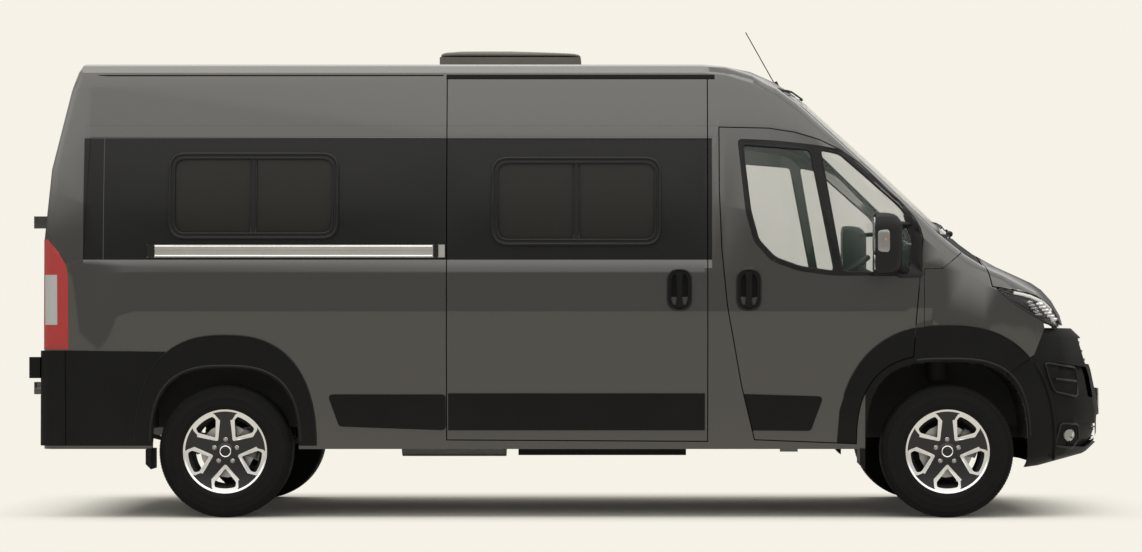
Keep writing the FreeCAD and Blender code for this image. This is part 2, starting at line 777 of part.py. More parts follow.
def grille():
    """Curved slats across both openings, joined by uprights."""
    grilles = []
    for half, low, high, rows in GRILLE_OPENINGS:
        pitch = (high - low) / rows
        pieces = []
        for row in range(rows):
            z = low + pitch * (row + 0.5) - 7
            tip = next(
                x0 + (x1 - x0) * (z - z0) / (z1 - z0)
                for (x0, z0), (x1, z1) in zip(BUMPER_LEVELS, BUMPER_LEVELS[1:]) if z <= z1
            )
            outer = bumper_section(z, tip, 14)
            inner = bumper_section(z, tip, 30)
            face = Part.Face(polygon(outer + inner[::-1]))
            pieces.append(face.extrude(Vector(0, 0, 14)))
        for y in (-half * 0.4, half * 0.4):
            upright = box(NOSE_X - 550, NOSE_X + 50, y - 6, y + 6, low, high)
            pieces.append(upright.common(bumper_form(18)).cut(bumper_form(29)))
        grilles.append(pieces[0].fuse(pieces[1:]).common(grille_block(half, low, high)))
    return group(grilles)


def headlamps():
    return both_sides(skin(2, 60).common(through_side(HEADLAMP)))


def tail_lamps():
    return both_sides(skin(-2, WALL).common(through_side(TAIL_LAMP, REAR_DOOR_HALF + 8)))


def rear_bumper():
    cover = skin(-18, -SEAT_GAP).common(box(
        TAIL_X - 150, TAIL_X + 207, -1300, 1300, 404, REAR_BUMPER_TOP
    ))
    near, far = TAIL_X - 250, TAIL_X + 350
    cover = cover.cut(box(near, far, -889, 889, 548, 1000))
    low = REAR_HINGE_HEIGHTS[0] - SHUT_GAP
    high = REAR_HINGE_HEIGHTS[0] + 2 * REAR_HINGE_LEAF + SHUT_GAP
    notch = box(near, far, -936, 936, low, high)
    pad = box(TAIL_X, TAIL_X + 60, -960, -896, 781, 899).cut(hull(-SEAT_GAP))
    return cover.cut(notch).fuse([pad, mirror(pad)])


def handle(x):
    """An upright oval bezel with a hollow behind its grip."""
    oval = rectangle(
        x - HANDLE_HALF_WIDTH, x + HANDLE_HALF_WIDTH,
        HANDLE_HEIGHT - HANDLE_HALF_HEIGHT, HANDLE_HEIGHT + HANDLE_HALF_HEIGHT,
    )
    hollow = rectangle(
        x - HANDLE_HALF_WIDTH + 22, x + HANDLE_HALF_WIDTH - 22,
        HANDLE_HEIGHT - HANDLE_HALF_HEIGHT + 24, HANDLE_HEIGHT + HANDLE_HALF_HEIGHT - 24,
    )
    bezel = box(
        x - 100, x + 100, -HALF_WIDTH - TRIM_HEIGHT, -HALF_WIDTH + 60,
        HANDLE_HEIGHT - 150, HANDLE_HEIGHT + 150,
    ).common(through_side(oval, radius=60, chord=COARSE_CHORD))
    bezel = bezel.cut(through_side(hollow, HALF_WIDTH - 6, radius=40, chord=COARSE_CHORD))
    grip = box(
        x - 16, x + 16, -HALF_WIDTH - 30, -HALF_WIDTH + 60,
        HANDLE_HEIGHT - HANDLE_HALF_HEIGHT + 18, HANDLE_HEIGHT + HANDLE_HALF_HEIGHT - 18,
    )
    return bezel.fuse(grip).cut(hull(0))


def mud_flap(x):
    """The flap that hangs below the sill at the rear foot of a wheel arch."""
    top = SILL_BOTTOM - SEAT_GAP
    outline = [
        (x, FLAP_LOW), (x, top), (x - FLAP_THICKNESS, top),
        (x - FLAP_THICKNESS, FLAP_LOW + FLAP_THICKNESS),
    ]
    return through_side(outline, HALF_WIDTH - TYRE_WIDTH, HALF_WIDTH - 12)


def mud_flaps():
    return both_sides(group([mud_flap(FRONT_AXLE_X - 460), mud_flap(REAR_AXLE_X - 412)]))


def body_trims():
    """Arch trims, side mouldings and rear quarter cladding that stay put."""
    layer = trim_layer()
    door_clear = through_side(FRONT_DOOR, grow=SHUT_GAP)
    rear_region = through_side(REAR_ARCH_OUTER).fuse(through_side(REAR_QUARTER))
    rear_arch = layer.common(rear_region).cut(through_side(REAR_ARCH))
    front_arch = layer.common(through_side(FRONT_ARCH_OUTER)).cut([
        door_clear, through_side(FRONT_ARCH), through_body(BUMPER_CLIP, grow=2),
        box(FRONT_AXLE_X - 785, FRONT_AXLE_X - 458, -1300, 0, 0, 3000),
        box(FRONT_AXLE_X, NOSE_X + 50, -1300, 0, 0, 811),
    ])
    sill = layer.common(through_side([
        (REAR_AXLE_X + 637, MOULDING_LOW + 21), (REAR_AXLE_X + 573, MOULDING_HIGH - 6),
        (SLIDE_REAR - SHUT_GAP - 2, MOULDING_HIGH - 6), (SLIDE_REAR - SHUT_GAP - 2, MOULDING_LOW),
    ], radius=MOULDING_CORNER))
    strip = skin(-5, 0).common(through_side(rectangle(
        SLIDE_REAR - 8, SLIDE_FRONT + 44, GUTTER_Z - 19, GUTTER_Z + 4
    )))
    pieces = [largest(piece) for piece in (rear_arch, front_arch, sill)]
    trims = pieces + [mirror(piece) for piece in pieces] + [largest(strip)]
    return group(trims)


def sliding_door_trim():
    layer = trim_layer()
    moulding = layer.common(through_side(rectangle(
        SLIDE_REAR + SHUT_GAP, SLIDE_FRONT - SHUT_GAP - 7, MOULDING_LOW, MOULDING_HIGH
    )))
    return group([moulding, handle(SLIDING_HANDLE_X)])


def front_door_trim(side):
    layer = trim_layer()
    near_x = FRONT_AXLE_X - 1263
    moulding = layer.common(through_side([
        (near_x, MOULDING_LOW), (near_x, MOULDING_HIGH),
        (FRONT_AXLE_X - 693, MOULDING_HIGH - 17), (FRONT_AXLE_X - 763, MOULDING_LOW - 3),
    ], radius=MOULDING_CORNER)).common(through_side(FRONT_DOOR))
    arch_piece = layer.common(through_side(FRONT_ARCH_OUTER)).common(through_side(FRONT_DOOR))
    return on_side(group([moulding, arch_piece, handle(FRONT_HANDLE_X)]), side)


def window_frames():
    """Raised frames with a bar across the middle, where one pane slides past the other."""
    layer = skin(-TRIM_HEIGHT / 2, WALL / 2)
    bar_layer = skin(-2, GLASS_DEPTH)
    frames = []
    for window in (REAR_WINDOW, DOOR_WINDOW):
        frame = layer.common(window_block(window)).cut(window_block(window, FRAME_WIDTH))
        middle = (window[0] + window[1]) / 2
        bar = bar_layer.common(through_side(rectangle(
            middle - FRAME_WIDTH / 2, middle + FRAME_WIDTH / 2,
            window[2] + FRAME_WIDTH / 2, window[3] - FRAME_WIDTH / 2,
        )))
        frames.append(frame.fuse(bar))
    return group([frames[0], mirror(frames[0]), frames[1]])


def side_windows():
    layer = skin(GLASS_DEPTH, GLASS_DEPTH + GLASS_THICKNESS)
    rear = layer.common(window_block(REAR_WINDOW, FRAME_WIDTH))
    door = layer.common(window_block(DOOR_WINDOW, FRAME_WIDTH))
    return group([rear, mirror(rear), door])


def door_rail():
    """The guide rail of the sliding door, a channel with a rib along its middle."""
    start, end = REAR_AXLE_X - 434, SLIDE_REAR - 12
    low, high = RAIL_LOW, RAIL_HIGH
    rail = skin(-6, PANEL_RECESS).common(through_side(rectangle(start, end, low, high)))
    groove = skin(-8, -2).common(through_side(rectangle(start + 40, end - 40, low + 22, high - 30)))
    return largest(rail.cut(groove))


# Roof fittings
def vent_frame():
    outer = box(
        VENT_REAR, VENT_FRONT, -VENT_HALF, VENT_HALF, ROOF_HEIGHT - 80, VENT_BASE_TOP
    )
    lugs = [
        box(VENT_REAR, VENT_REAR + 24, y - 30, y + 30, VENT_BASE_TOP, VENT_LID_BASE - SEAT_GAP)
        for y in (-200, 200)
    ]
    return outer.cut([hull(0), hatch_block()]).fuse(lugs)


def vent_lid():
    """A shallow moulded lid, higher at its hinge than at its front edge."""
    rings = []
    for inset, rise in ((0, 0), (0, 14), (30, 30), (150, VENT_LID_HEIGHT)):
        x0 = VENT_REAR + inset
        x1 = VENT_FRONT - inset
        half = VENT_HALF - inset
        z = VENT_LID_BASE + rise
        rings.append([
            Vector(x0, -half, z), Vector(x1, -half, z - rise * 0.3),
            Vector(x1, half, z - rise * 0.3), Vector(x0, half, z),
        ])
    return solid_through(rings)


def antenna():
    foot_x = FRONT_AXLE_X - 895
    foot = rod((foot_x, 0, ROOF_HEIGHT - 110), (foot_x - 20, 0, ROOF_HEIGHT - 66), 18, 8)
    mast = rod((foot_x - 10, 0, ROOF_HEIGHT - 90), (foot_x - 190, 0, ROOF_HEIGHT + 230), 3, 6)
    return foot.fuse(mast).cut(hull(0))


# Mirrors and wipers
def mirror_head(side):
    """A tall mirror on two arms, with the plinth that holds them to the door."""
    rings = []
    for x, shrink in ((-427, 34), (-405, 10), (-345, 0), (-295, 22), (-273, 60)):
        low, high = 1354 + shrink, 1700 - shrink
        inner, outer = -1085 - shrink / 2, -1260 + shrink / 2
        cut = 36
        x += FRONT_AXLE_X
        rings.append([
            Vector(x, inner, low + cut), Vector(x, inner - cut, low),
            Vector(x, outer + cut, low), Vector(x, outer, low + cut),
            Vector(x, outer, high - cut), Vector(x, outer + cut, high),
            Vector(x, inner - cut, high), Vector(x, inner, high - cut),
        ])
    head = solid_through(rings)
    arm = rod((FRONT_AXLE_X - 325, -1110, 1440), (FRONT_AXLE_X - 235, -990, 1375), 20, 8)
    stay = rod((FRONT_AXLE_X - 315, -1110, 1640), (FRONT_AXLE_X - 200, -970, 1640), 15, 8)
    plinth = skin(-10, 0).common(through_side(MIRROR_PLINTH))
    return on_side(head.fuse([arm.fuse(stay).cut(hull(-2)), plinth]), side)


def wipers():
    """Two parked wipers, each on the pivot that stands in the cowl."""
    parts = []
    x = FRONT_AXLE_X + 120
    for y in (-560, 160):
        arm = rod((x, y, 1585), (x - 55, y + 420, 1650), 8, 6).cut(hull(0))
        pivot = rod((x - 5, y, 1500), (x + 1, y, 1592), 13, 8).cut(hull(COWL_DEPTH))
        parts.append(arm.fuse(pivot))
    return group(parts)


# Wheels
def tyre(x, track, side):
    half = TYRE_WIDTH / 2
    profile = [
        (RIM_RADIUS, -half + 12), (RIM_RADIUS + 70, -half), (TYRE_RADIUS - 26, -half + 8),
        (TYRE_RADIUS, -half + 34), (TYRE_RADIUS, half - 34), (TYRE_RADIUS - 26, half - 8),
        (RIM_RADIUS + 70, half), (RIM_RADIUS, half - 12),
    ]
    return turned(profile, x, side * track / 2)


def rim(x, track, side):
    """A barrel closed by a face with five spokes."""
    half = TYRE_WIDTH / 2 - 12
    y = side * track / 2
    inner = RIM_RADIUS - 12
    barrel = turned([(inner, -half), (RIM_RADIUS, -half), (RIM_RADIUS, half), (inner, half)], x, y)
    face = disc(x, y + side * 40, inner, 30, side)
    windows = []
    for index in range(5):
        angle = 54 + 72 * index
        block = []
        for radius, spread in ((88, 14), (180, 24), (180, -24), (88, -14)):
            turn = math.radians(angle + spread)
            block.append(Vector(
                x + radius * math.cos(turn), y, TYRE_RADIUS + radius * math.sin(turn)
            ))
        outline = polygon(rounded(block, 14, WHEEL_CORNER_CHORD))
        windows.append(Part.Face(outline).extrude(Vector(0, side * 120, 0)))
    bore = disc(x, y, HUB_BORE, 200, side, 12)
    return barrel.fuse(face.cut(windows + [bore])).removeSplitter()


def hub(x, track, side):
    """Wheel flange, centre cap and brake disc, which turn with the wheel."""
    y = side * track / 2
    flange = disc(x, y - side * 1, 80, 41, side, 12)
    cap = disc(x, y + side * 40, HUB_BORE, 36, side, 12)
    plate = disc(x, y - side * BRAKE_INSET, DISC_RADIUS, 24, side, 20)
    return flange.fuse([cap, plate])


# Running gear
def knuckle(side):
    """Steering knuckle: the kingpin's upright and the stub that carries the hub."""
    y = FRONT_TRACK / 2
    upright = rod(
        (FRONT_AXLE_X, -KINGPIN_Y, KINGPIN_LOW), (FRONT_AXLE_X, -KINGPIN_Y, KINGPIN_LOW + 300), 38
    )
    end = -y + BRAKE_INSET + SEAT_GAP
    stub = rod((FRONT_AXLE_X, -KINGPIN_Y, TYRE_RADIUS), (FRONT_AXLE_X, end, TYRE_RADIUS), 50, 12)
    return on_side(upright.fuse(stub), side)


def front_subframe():
    """Cross member with an arm to each kingpin."""
    beam = box(FRONT_AXLE_X - 160, FRONT_AXLE_X + 120, -480, 480, 240, 330)
    joint_z = KINGPIN_LOW - SEAT_GAP
    arm = through_ends([
        (-480, 300), (-480, 250), (-KINGPIN_Y + 60, joint_z - 36),
        (-KINGPIN_Y - 30, joint_z - 36), (-KINGPIN_Y - 30, joint_z), (-KINGPIN_Y + 60, joint_z),
    ], FRONT_AXLE_X - 55, FRONT_AXLE_X + 55)
    low, high = CHASSIS_RAIL_Y - CHASSIS_RAIL_HALF, CHASSIS_RAIL_Y + CHASSIS_RAIL_HALF
    rail = box(FRONT_AXLE_X - 785, FRONT_AXLE_X + 615, low, high, 430, FLOOR_Z)
    post = box(FRONT_AXLE_X - 60, FRONT_AXLE_X + 60, low, high, 330, 430)
    return beam.fuse([arm, mirror(arm), rail, mirror(rail), post, mirror(post)])


def engine_block():
    half = CHASSIS_RAIL_Y - CHASSIS_RAIL_HALF
    return box(FRONT_AXLE_X + 125, FRONT_AXLE_X + 575, -half, half, 470, 1040)


def rear_axle():
    """A beam between the hubs on two leaf springs that reach up to the floor."""
    end = REAR_TRACK / 2 - BRAKE_INSET - SEAT_GAP
    beam = rod((REAR_AXLE_X, -end, TYRE_RADIUS), (REAR_AXLE_X, end, TYRE_RADIUS), 42)
    springs = []
    for y in (-SPRING_Y, SPRING_Y):
        leaf = through_body([
            (REAR_AXLE_X - 700, FLOOR_Z - 15), (REAR_AXLE_X, 310),
            (REAR_AXLE_X + 700, FLOOR_Z - 15), (REAR_AXLE_X + 700, FLOOR_Z),
            (REAR_AXLE_X, 340), (REAR_AXLE_X - 700, FLOOR_Z),
        ]).common(box(-3000, 0, y - 32, y + 32, 200, FLOOR_Z))
        springs.append(leaf)
    return beam.fuse(springs)


def exhaust():
    z = FLOOR_Z - 90
    silencer = rod((-400, -420, z), (-1000, -420, z), 90, 12)
    top = box(-1000, -400, -440, -400, z, FLOOR_Z)
    pipe = rod((1280, -420, z), (-400, -420, z), 30, 8)
    return silencer.fuse([pipe, top])


def fuel_tank():
    return box(-350, 650, 120, 720, FLOOR_Z - 200, FLOOR_Z)


# Cab
def dashboard():
    outline = placed(FRONT_AXLE_X, [
        (-445, 1240), (59, 1288), (59, 1300), (95, 1300), (95, 1350), (-225, 1400),
        (-445, 1330),
    ])
    return through_body(outline).common(
        box(FRONT_AXLE_X - 485, FRONT_AXLE_X + 215, -880, 880, 1200, 1500)
    )


def steering_wheel():
    centre = Vector(FRONT_AXLE_X - 485, 430, 1380)
    axis = Vector(-0.55, 0, 0.835)
    axis.normalize()
    sideways = Vector(0, 1, 0)
    rise = axis.cross(sideways)
    rings = []
    for index in range(20):
        turn = 2 * math.pi * index / 20
        outward = sideways * math.cos(turn) + rise * math.sin(turn)
        ring = []
        for corner in range(4):
            lean = math.pi * corner / 2
            ring.append(centre + outward * (192 + 15 * math.cos(lean)) + axis * (15 * math.sin(lean)))
        rings.append(ring)
    hoop = hoop_through(rings)
    column = rod(tuple(centre), (centre.x + 90, centre.y, centre.z - 80), 30, 8)
    spokes = []
    for angle in (0, 180, 270):
        turn = math.radians(angle)
        end = centre + sideways * (190 * math.cos(turn)) + rise * (190 * math.sin(turn))
        spokes.append(rod(tuple(centre), tuple(end), 12, 6))
    return hoop.fuse(spokes + [column]).cut(dashboard())


def seats():
    parts = []
    x = FRONT_AXLE_X - 785
    for y in (-480, 480):
        cushion = box(x - 520, x, y - 250, y + 250, 760, 900)
        back = box(x - 600, x - 470, y - 250, y + 250, 900, 1560)
        stand = box(x - 480, x - 60, y - 200, y + 200, FLOOR_Z + FLOOR_THICKNESS, 760)
        parts.append(cushion.fuse([back, stand]))
    return group(parts)


def save(name, shape):
    """One file per piece, with the faces that lie in one plane merged."""
    group([solid.removeSplitter() for solid in shape.Solids]).exportStep(
        "parts/" + name + ".step"
    )


def build():
    right_side, left_side = side_panel(RIGHT), side_panel(LEFT)
    pieces = {
        "side_panels": group([right_side, left_side]),
        "floor_pan": floor_pan(),
        "roof_panel": roof_panel(),
        "wings": wings(),
        "sliding_door": sliding_door(),
        "sliding_door_trim": sliding_door_trim(),
        "windscreen": windscreen(),
        "cowl": cowl(),
        "bonnet": bonnet(),
        "front_bumper": front_bumper(),
        "grille": grille(),
        "headlamps": headlamps(),
        "tail_lamps": tail_lamps(),
        "rear_bumper": rear_bumper(),
        "body_trims": body_trims(),
        "mud_flaps": mud_flaps(),
        "window_frames": window_frames(),
        "side_windows": side_windows(),
        "door_rail": door_rail(),
        "vent_frame": vent_frame(),
        "vent_lid": vent_lid(),
        "antenna": antenna(),
        "wipers": wipers(),
        "engine_block": engine_block(),
        "front_subframe": front_subframe(),
        "rear_axle": rear_axle(),
        "exhaust": exhaust(),
        "fuel_tank": fuel_tank(),
        "dashboard": dashboard(),
        "steering_wheel": steering_wheel(),
        "seats": seats(),
        "rear_hinges": rear_hinges(),
    }
    for side, word in SIDES:
        pieces["door_" + word] = front_door(side)
        pieces["door_glass_" + word] = front_door_glass(side)
        pieces["door_trim_" + word] = front_door_trim(side)
        pieces["mirror_" + word] = mirror_head(side)
        pieces["rear_door_" + word] = rear_door(side)
        pieces["rear_glass_" + word] = rear_door_glass(side)
        pieces["knuckle_" + word] = knuckle(side)
        for end, x, track in (
            ("front", FRONT_AXLE_X, FRONT_TRACK), ("rear", REAR_AXLE_X, REAR_TRACK),
        ):
            pieces["tyre_" + end + "_" + word] = tyre(x, track, side)
            pieces["rim_" + end + "_" + word] = rim(x, track, side)
            pieces["hub_" + end + "_" + word] = hub(x, track, side)
    for name, shape in pieces.items():
        save(name, shape)


os.makedirs("parts", exist_ok=True)
build()
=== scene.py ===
"""Looks of a six metre panel van camper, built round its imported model."""

from __future__ import annotations

import enum
import json
import logging
import math
from dataclasses import dataclass, field
from typing import Callable, Iterable, Sequence

import bmesh
import bpy
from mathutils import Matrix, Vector
from mathutils.bvhtree import BVHTree
from mathutils.geometry import delaunay_2d_cdt

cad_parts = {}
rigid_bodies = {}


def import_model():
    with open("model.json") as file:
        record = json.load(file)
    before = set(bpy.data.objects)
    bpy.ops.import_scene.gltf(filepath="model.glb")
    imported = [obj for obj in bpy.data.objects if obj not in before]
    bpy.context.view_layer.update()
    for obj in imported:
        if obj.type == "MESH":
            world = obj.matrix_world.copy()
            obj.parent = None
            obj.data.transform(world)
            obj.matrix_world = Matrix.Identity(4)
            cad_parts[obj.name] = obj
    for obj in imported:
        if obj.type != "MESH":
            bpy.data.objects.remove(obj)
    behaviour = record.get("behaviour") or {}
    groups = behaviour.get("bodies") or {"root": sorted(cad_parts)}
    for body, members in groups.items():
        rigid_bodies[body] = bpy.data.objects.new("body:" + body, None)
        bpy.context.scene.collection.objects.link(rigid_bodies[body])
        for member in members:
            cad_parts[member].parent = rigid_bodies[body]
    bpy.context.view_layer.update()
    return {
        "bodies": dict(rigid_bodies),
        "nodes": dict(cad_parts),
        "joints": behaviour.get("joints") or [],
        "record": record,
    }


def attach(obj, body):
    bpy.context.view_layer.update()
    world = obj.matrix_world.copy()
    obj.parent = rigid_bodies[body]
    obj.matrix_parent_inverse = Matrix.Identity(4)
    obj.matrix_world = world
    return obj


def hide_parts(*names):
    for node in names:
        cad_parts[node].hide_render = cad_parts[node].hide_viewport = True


LOG = logging.getLogger("camper")

Colour = tuple[float, float, float]
Socket = bpy.types.NodeSocket
Node = bpy.types.Node
Tree = bpy.types.NodeTree
Material = bpy.types.Material
Object = bpy.types.Object
Place = tuple[float, float, float]
Span = tuple[float, float]
Fade = tuple[float, float, float, float]
Outline = Sequence[Span]
Path = list[Span]
Points = Sequence[Sequence[float]]
Mesh = tuple[list[Vector], list[tuple[int, ...]]]

# Places that every sub-assembly shares, in metres: X forward, Y to the left, Z up
FRONT_AXLE_X = 2.085
REAR_AXLE_X = -1.95
NOSE_X = 3.05
HALF_WIDTH = 1.015
TYRE_RADIUS = 0.372


class Side(enum.IntEnum):
    """The van's right side is towards -Y and its left side towards +Y."""

    RIGHT = -1
    LEFT = 1

    @property
    def word(self) -> str:
        """The side's name as the bodies and nodes use it."""
        return "right" if self is Side.RIGHT else "left"


# Shader tools


class Nodes:
    """Short calls on one node tree."""

    def __init__(self, tree: Tree) -> None:
        """Keeps the tree."""
        self.tree = tree

    def put(self, target: Node, key: int | str, value: object) -> None:
        """Sets a socket by its place or name, or links it if the value is a socket.

        Args:
            target: the node that has the socket.
            key: the socket's place or name.
            value: a number, a colour or another node's socket.
        """
        if isinstance(value, Socket):
            self.tree.links.new(value, target.inputs[key])
        else:
            target.inputs[key].default_value = value

    def node(self, kind: str, *values: object, setting: tuple[str, str] | None = None,
            **inputs: object) -> Node:
        """Adds a node.

        Args:
            kind: Blender's name of the node.
            values: what its first sockets get.
            setting: an option of the node and its choice.
            inputs: what its named sockets get, with _ for a space.

        Returns:
            The new node.
        """
        made = self.tree.nodes.new(kind)
        if setting is not None:
            setattr(made, *setting)
        for index, value in enumerate(values):
            self.put(made, index, value)
        for name, value in inputs.items():
            self.put(made, name.replace("_", " "), value)
        return made

    def math(self, operation: str, *values: object) -> Socket:
        """The result of a Math node on one to three numbers or sockets."""
        return self.node("ShaderNodeMath", *values, setting=("operation", operation)).outputs[0]

    def times(self, first: object, second: object) -> Socket:
        """Two masks or numbers multiplied."""
        return self.math("MULTIPLY", first, second)

    def mix(self, share: object, first: object, second: object) -> Socket:
        """Mixes two colours by a mask.

        Args:
            share: the mask.
            first: the colour where the mask is 0.
            second: the colour where it is 1.

        Returns:
            The mixed colour.
        """
        made = self.node("ShaderNodeMix", share, setting=("data_type", "RGBA"))
        for index, value in ((6, first), (7, second)):
            self.put(made, index, (*value, 1.0) if isinstance(value, tuple) else value)
        return made.outputs[2]

    def blend(self, share: object, first: float, second: object) -> Socket:
        """Mixes two numbers by a mask."""
        made = self.node("ShaderNodeMix", share, setting=("data_type", "FLOAT"))
        self.put(made, 2, first)
        self.put(made, 3, second)
        return made.outputs[0]

    def place(self) -> Socket:
        """Object coordinates, which on this van are its own frame in metres."""
        return self.node("ShaderNodeTexCoord").outputs["Object"]

    def axes(self) -> tuple[Socket, ...]:
        """X, Y and Z of the place."""
        return tuple(self.node("ShaderNodeSeparateXYZ", self.place()).outputs)

    def ramp(self, value: object, start: float, end: float) -> Socket:
        """A value from 0 at start to 1 at end, held outside them."""
        return self.node("ShaderNodeMapRange", value, start, end).outputs[0]

    def band(self, value: Socket, low: float, high: float, soft: float = 0.0015) -> Socket:
        """A mask that is 1 between two places and 0 outside them.

        Args:
            value: the coordinate's socket.
            low: where the mask begins, in metres.
            high: where it ends.
            soft: the width of each edge.

        Returns:
            The mask's socket.
        """
        rise = self.ramp(value, low - soft, low + soft)
        fall = self.ramp(value, high + soft, high - soft)
        return self.times(rise, fall)

    def noise(self, scale: object, detail: float = 2.0, rough: float = 0.5) -> Socket:
        """Noise on object coordinates, in waves per metre."""
        made = self.node("ShaderNodeTexNoise", Vector=self.place(), Scale=scale, Detail=detail,
            Roughness=rough)
        return made.outputs["Fac"]


class Shader(Nodes):
    """A material's node tree with its Principled shader."""

    def __init__(self, name: str) -> None:
        """Starts a material with one Principled shader."""
        self.material = bpy.data.materials.new(name)
        self.material.use_nodes = True
        super().__init__(self.material.node_tree)
        self.shader = self.tree.nodes["Principled BSDF"]

    def set(self, **inputs: object) -> None:
        """Sets the Principled shader's own sockets."""
        for name, value in inputs.items():
            self.put(self.shader, name.replace("_", " "), value)

    def bump(self, height: Socket, strength: float, distance: float, base: Socket | None = None) -> None:
        """Lets a height shape the shader's normal through a Bump node.

        Args:
            height: the height's socket.
            strength: the share of the height that counts.
            distance: how high a height of 1 is, in metres.
            base: the normal that it starts from, else the surface's own.
        """
        made = self.node("ShaderNodeBump", Strength=strength, Distance=distance, Height=height)
        if base is not None:
            self.put(made, "Normal", base)
        self.set(Normal=made.outputs[0], Coat_Normal=made.outputs[0])

    def group(self, tree: Tree, **inputs: object) -> Node:
        """Places a shared effect with its own values.

        Args:
            tree: the effect's group.
            inputs: its inputs, with _ for a space.

        Returns:
            The group's node.
        """
        made = self.node("ShaderNodeGroup")
        made.node_tree = tree
        for name, value in inputs.items():
            self.put(made, name.replace("_", " "), value)
        return made


class Effects:
    """Shader node groups that more than one finish uses."""

    def __init__(self) -> None:
        """Builds each group once."""
        self.grain = self._grain()
        self.road_dust = self._road_dust()

    @staticmethod
    def _start(name: str, inputs: dict[str, float], outputs: Sequence[str]) -> tuple[Nodes,
            Sequence[Socket], Node]:
        """Starts a group of numbers.

        Args:
            name: the effect's name.
            inputs: its inputs and their usual values.
            outputs: its outputs.

        Returns:
            Calls on the group's tree, the inputs' sockets inside it, and the node that takes its outputs.
        """
        tree = bpy.data.node_groups.new(name, "ShaderNodeTree")
        for label, value in inputs.items():
            socket = tree.interface.new_socket(label, in_out="INPUT", socket_type="NodeSocketFloat")
            socket.default_value = value
        for label in outputs:
            tree.interface.new_socket(label, in_out="OUTPUT", socket_type="NodeSocketFloat")
        nodes = Nodes(tree)
        return nodes, nodes.node("NodeGroupInput").outputs, nodes.node("NodeGroupOutput")

    def _grain(self) -> Tree:
        """Fine moulded grain: a height, and a mask of its valleys."""
        nodes, given, result = self._start("moulded grain", {"Cells per metre": 700.0, "Softness": 0.5},
            ("Height", "Valleys"))
        cells = nodes.node("ShaderNodeTexVoronoi", setting=("feature", "SMOOTH_F1"), Vector=nodes.place(),
            Scale=given[0], Smoothness=given[1])
        height = cells.outputs["Distance"]
        nodes.put(result, 0, height)
        nodes.put(result, 1, nodes.ramp(height, 0.35, 0.75))
        return nodes.tree

    def _road_dust(self) -> Tree:
        """Thin dust that gathers low on the van, in uneven patches."""
        nodes, given, result = self._start("road dust", {"Top": 0.75, "Amount": 0.5,
            "Patches per metre": 5.0}, ("Mask",))
        fade = nodes.ramp(nodes.axes()[2], given[0], 0.2)
        patches = nodes.noise(given[2], 6.0)
        nodes.put(result, 0, nodes.times(nodes.times(fade, patches), given[1]))
        return nodes.tree


# Finishes


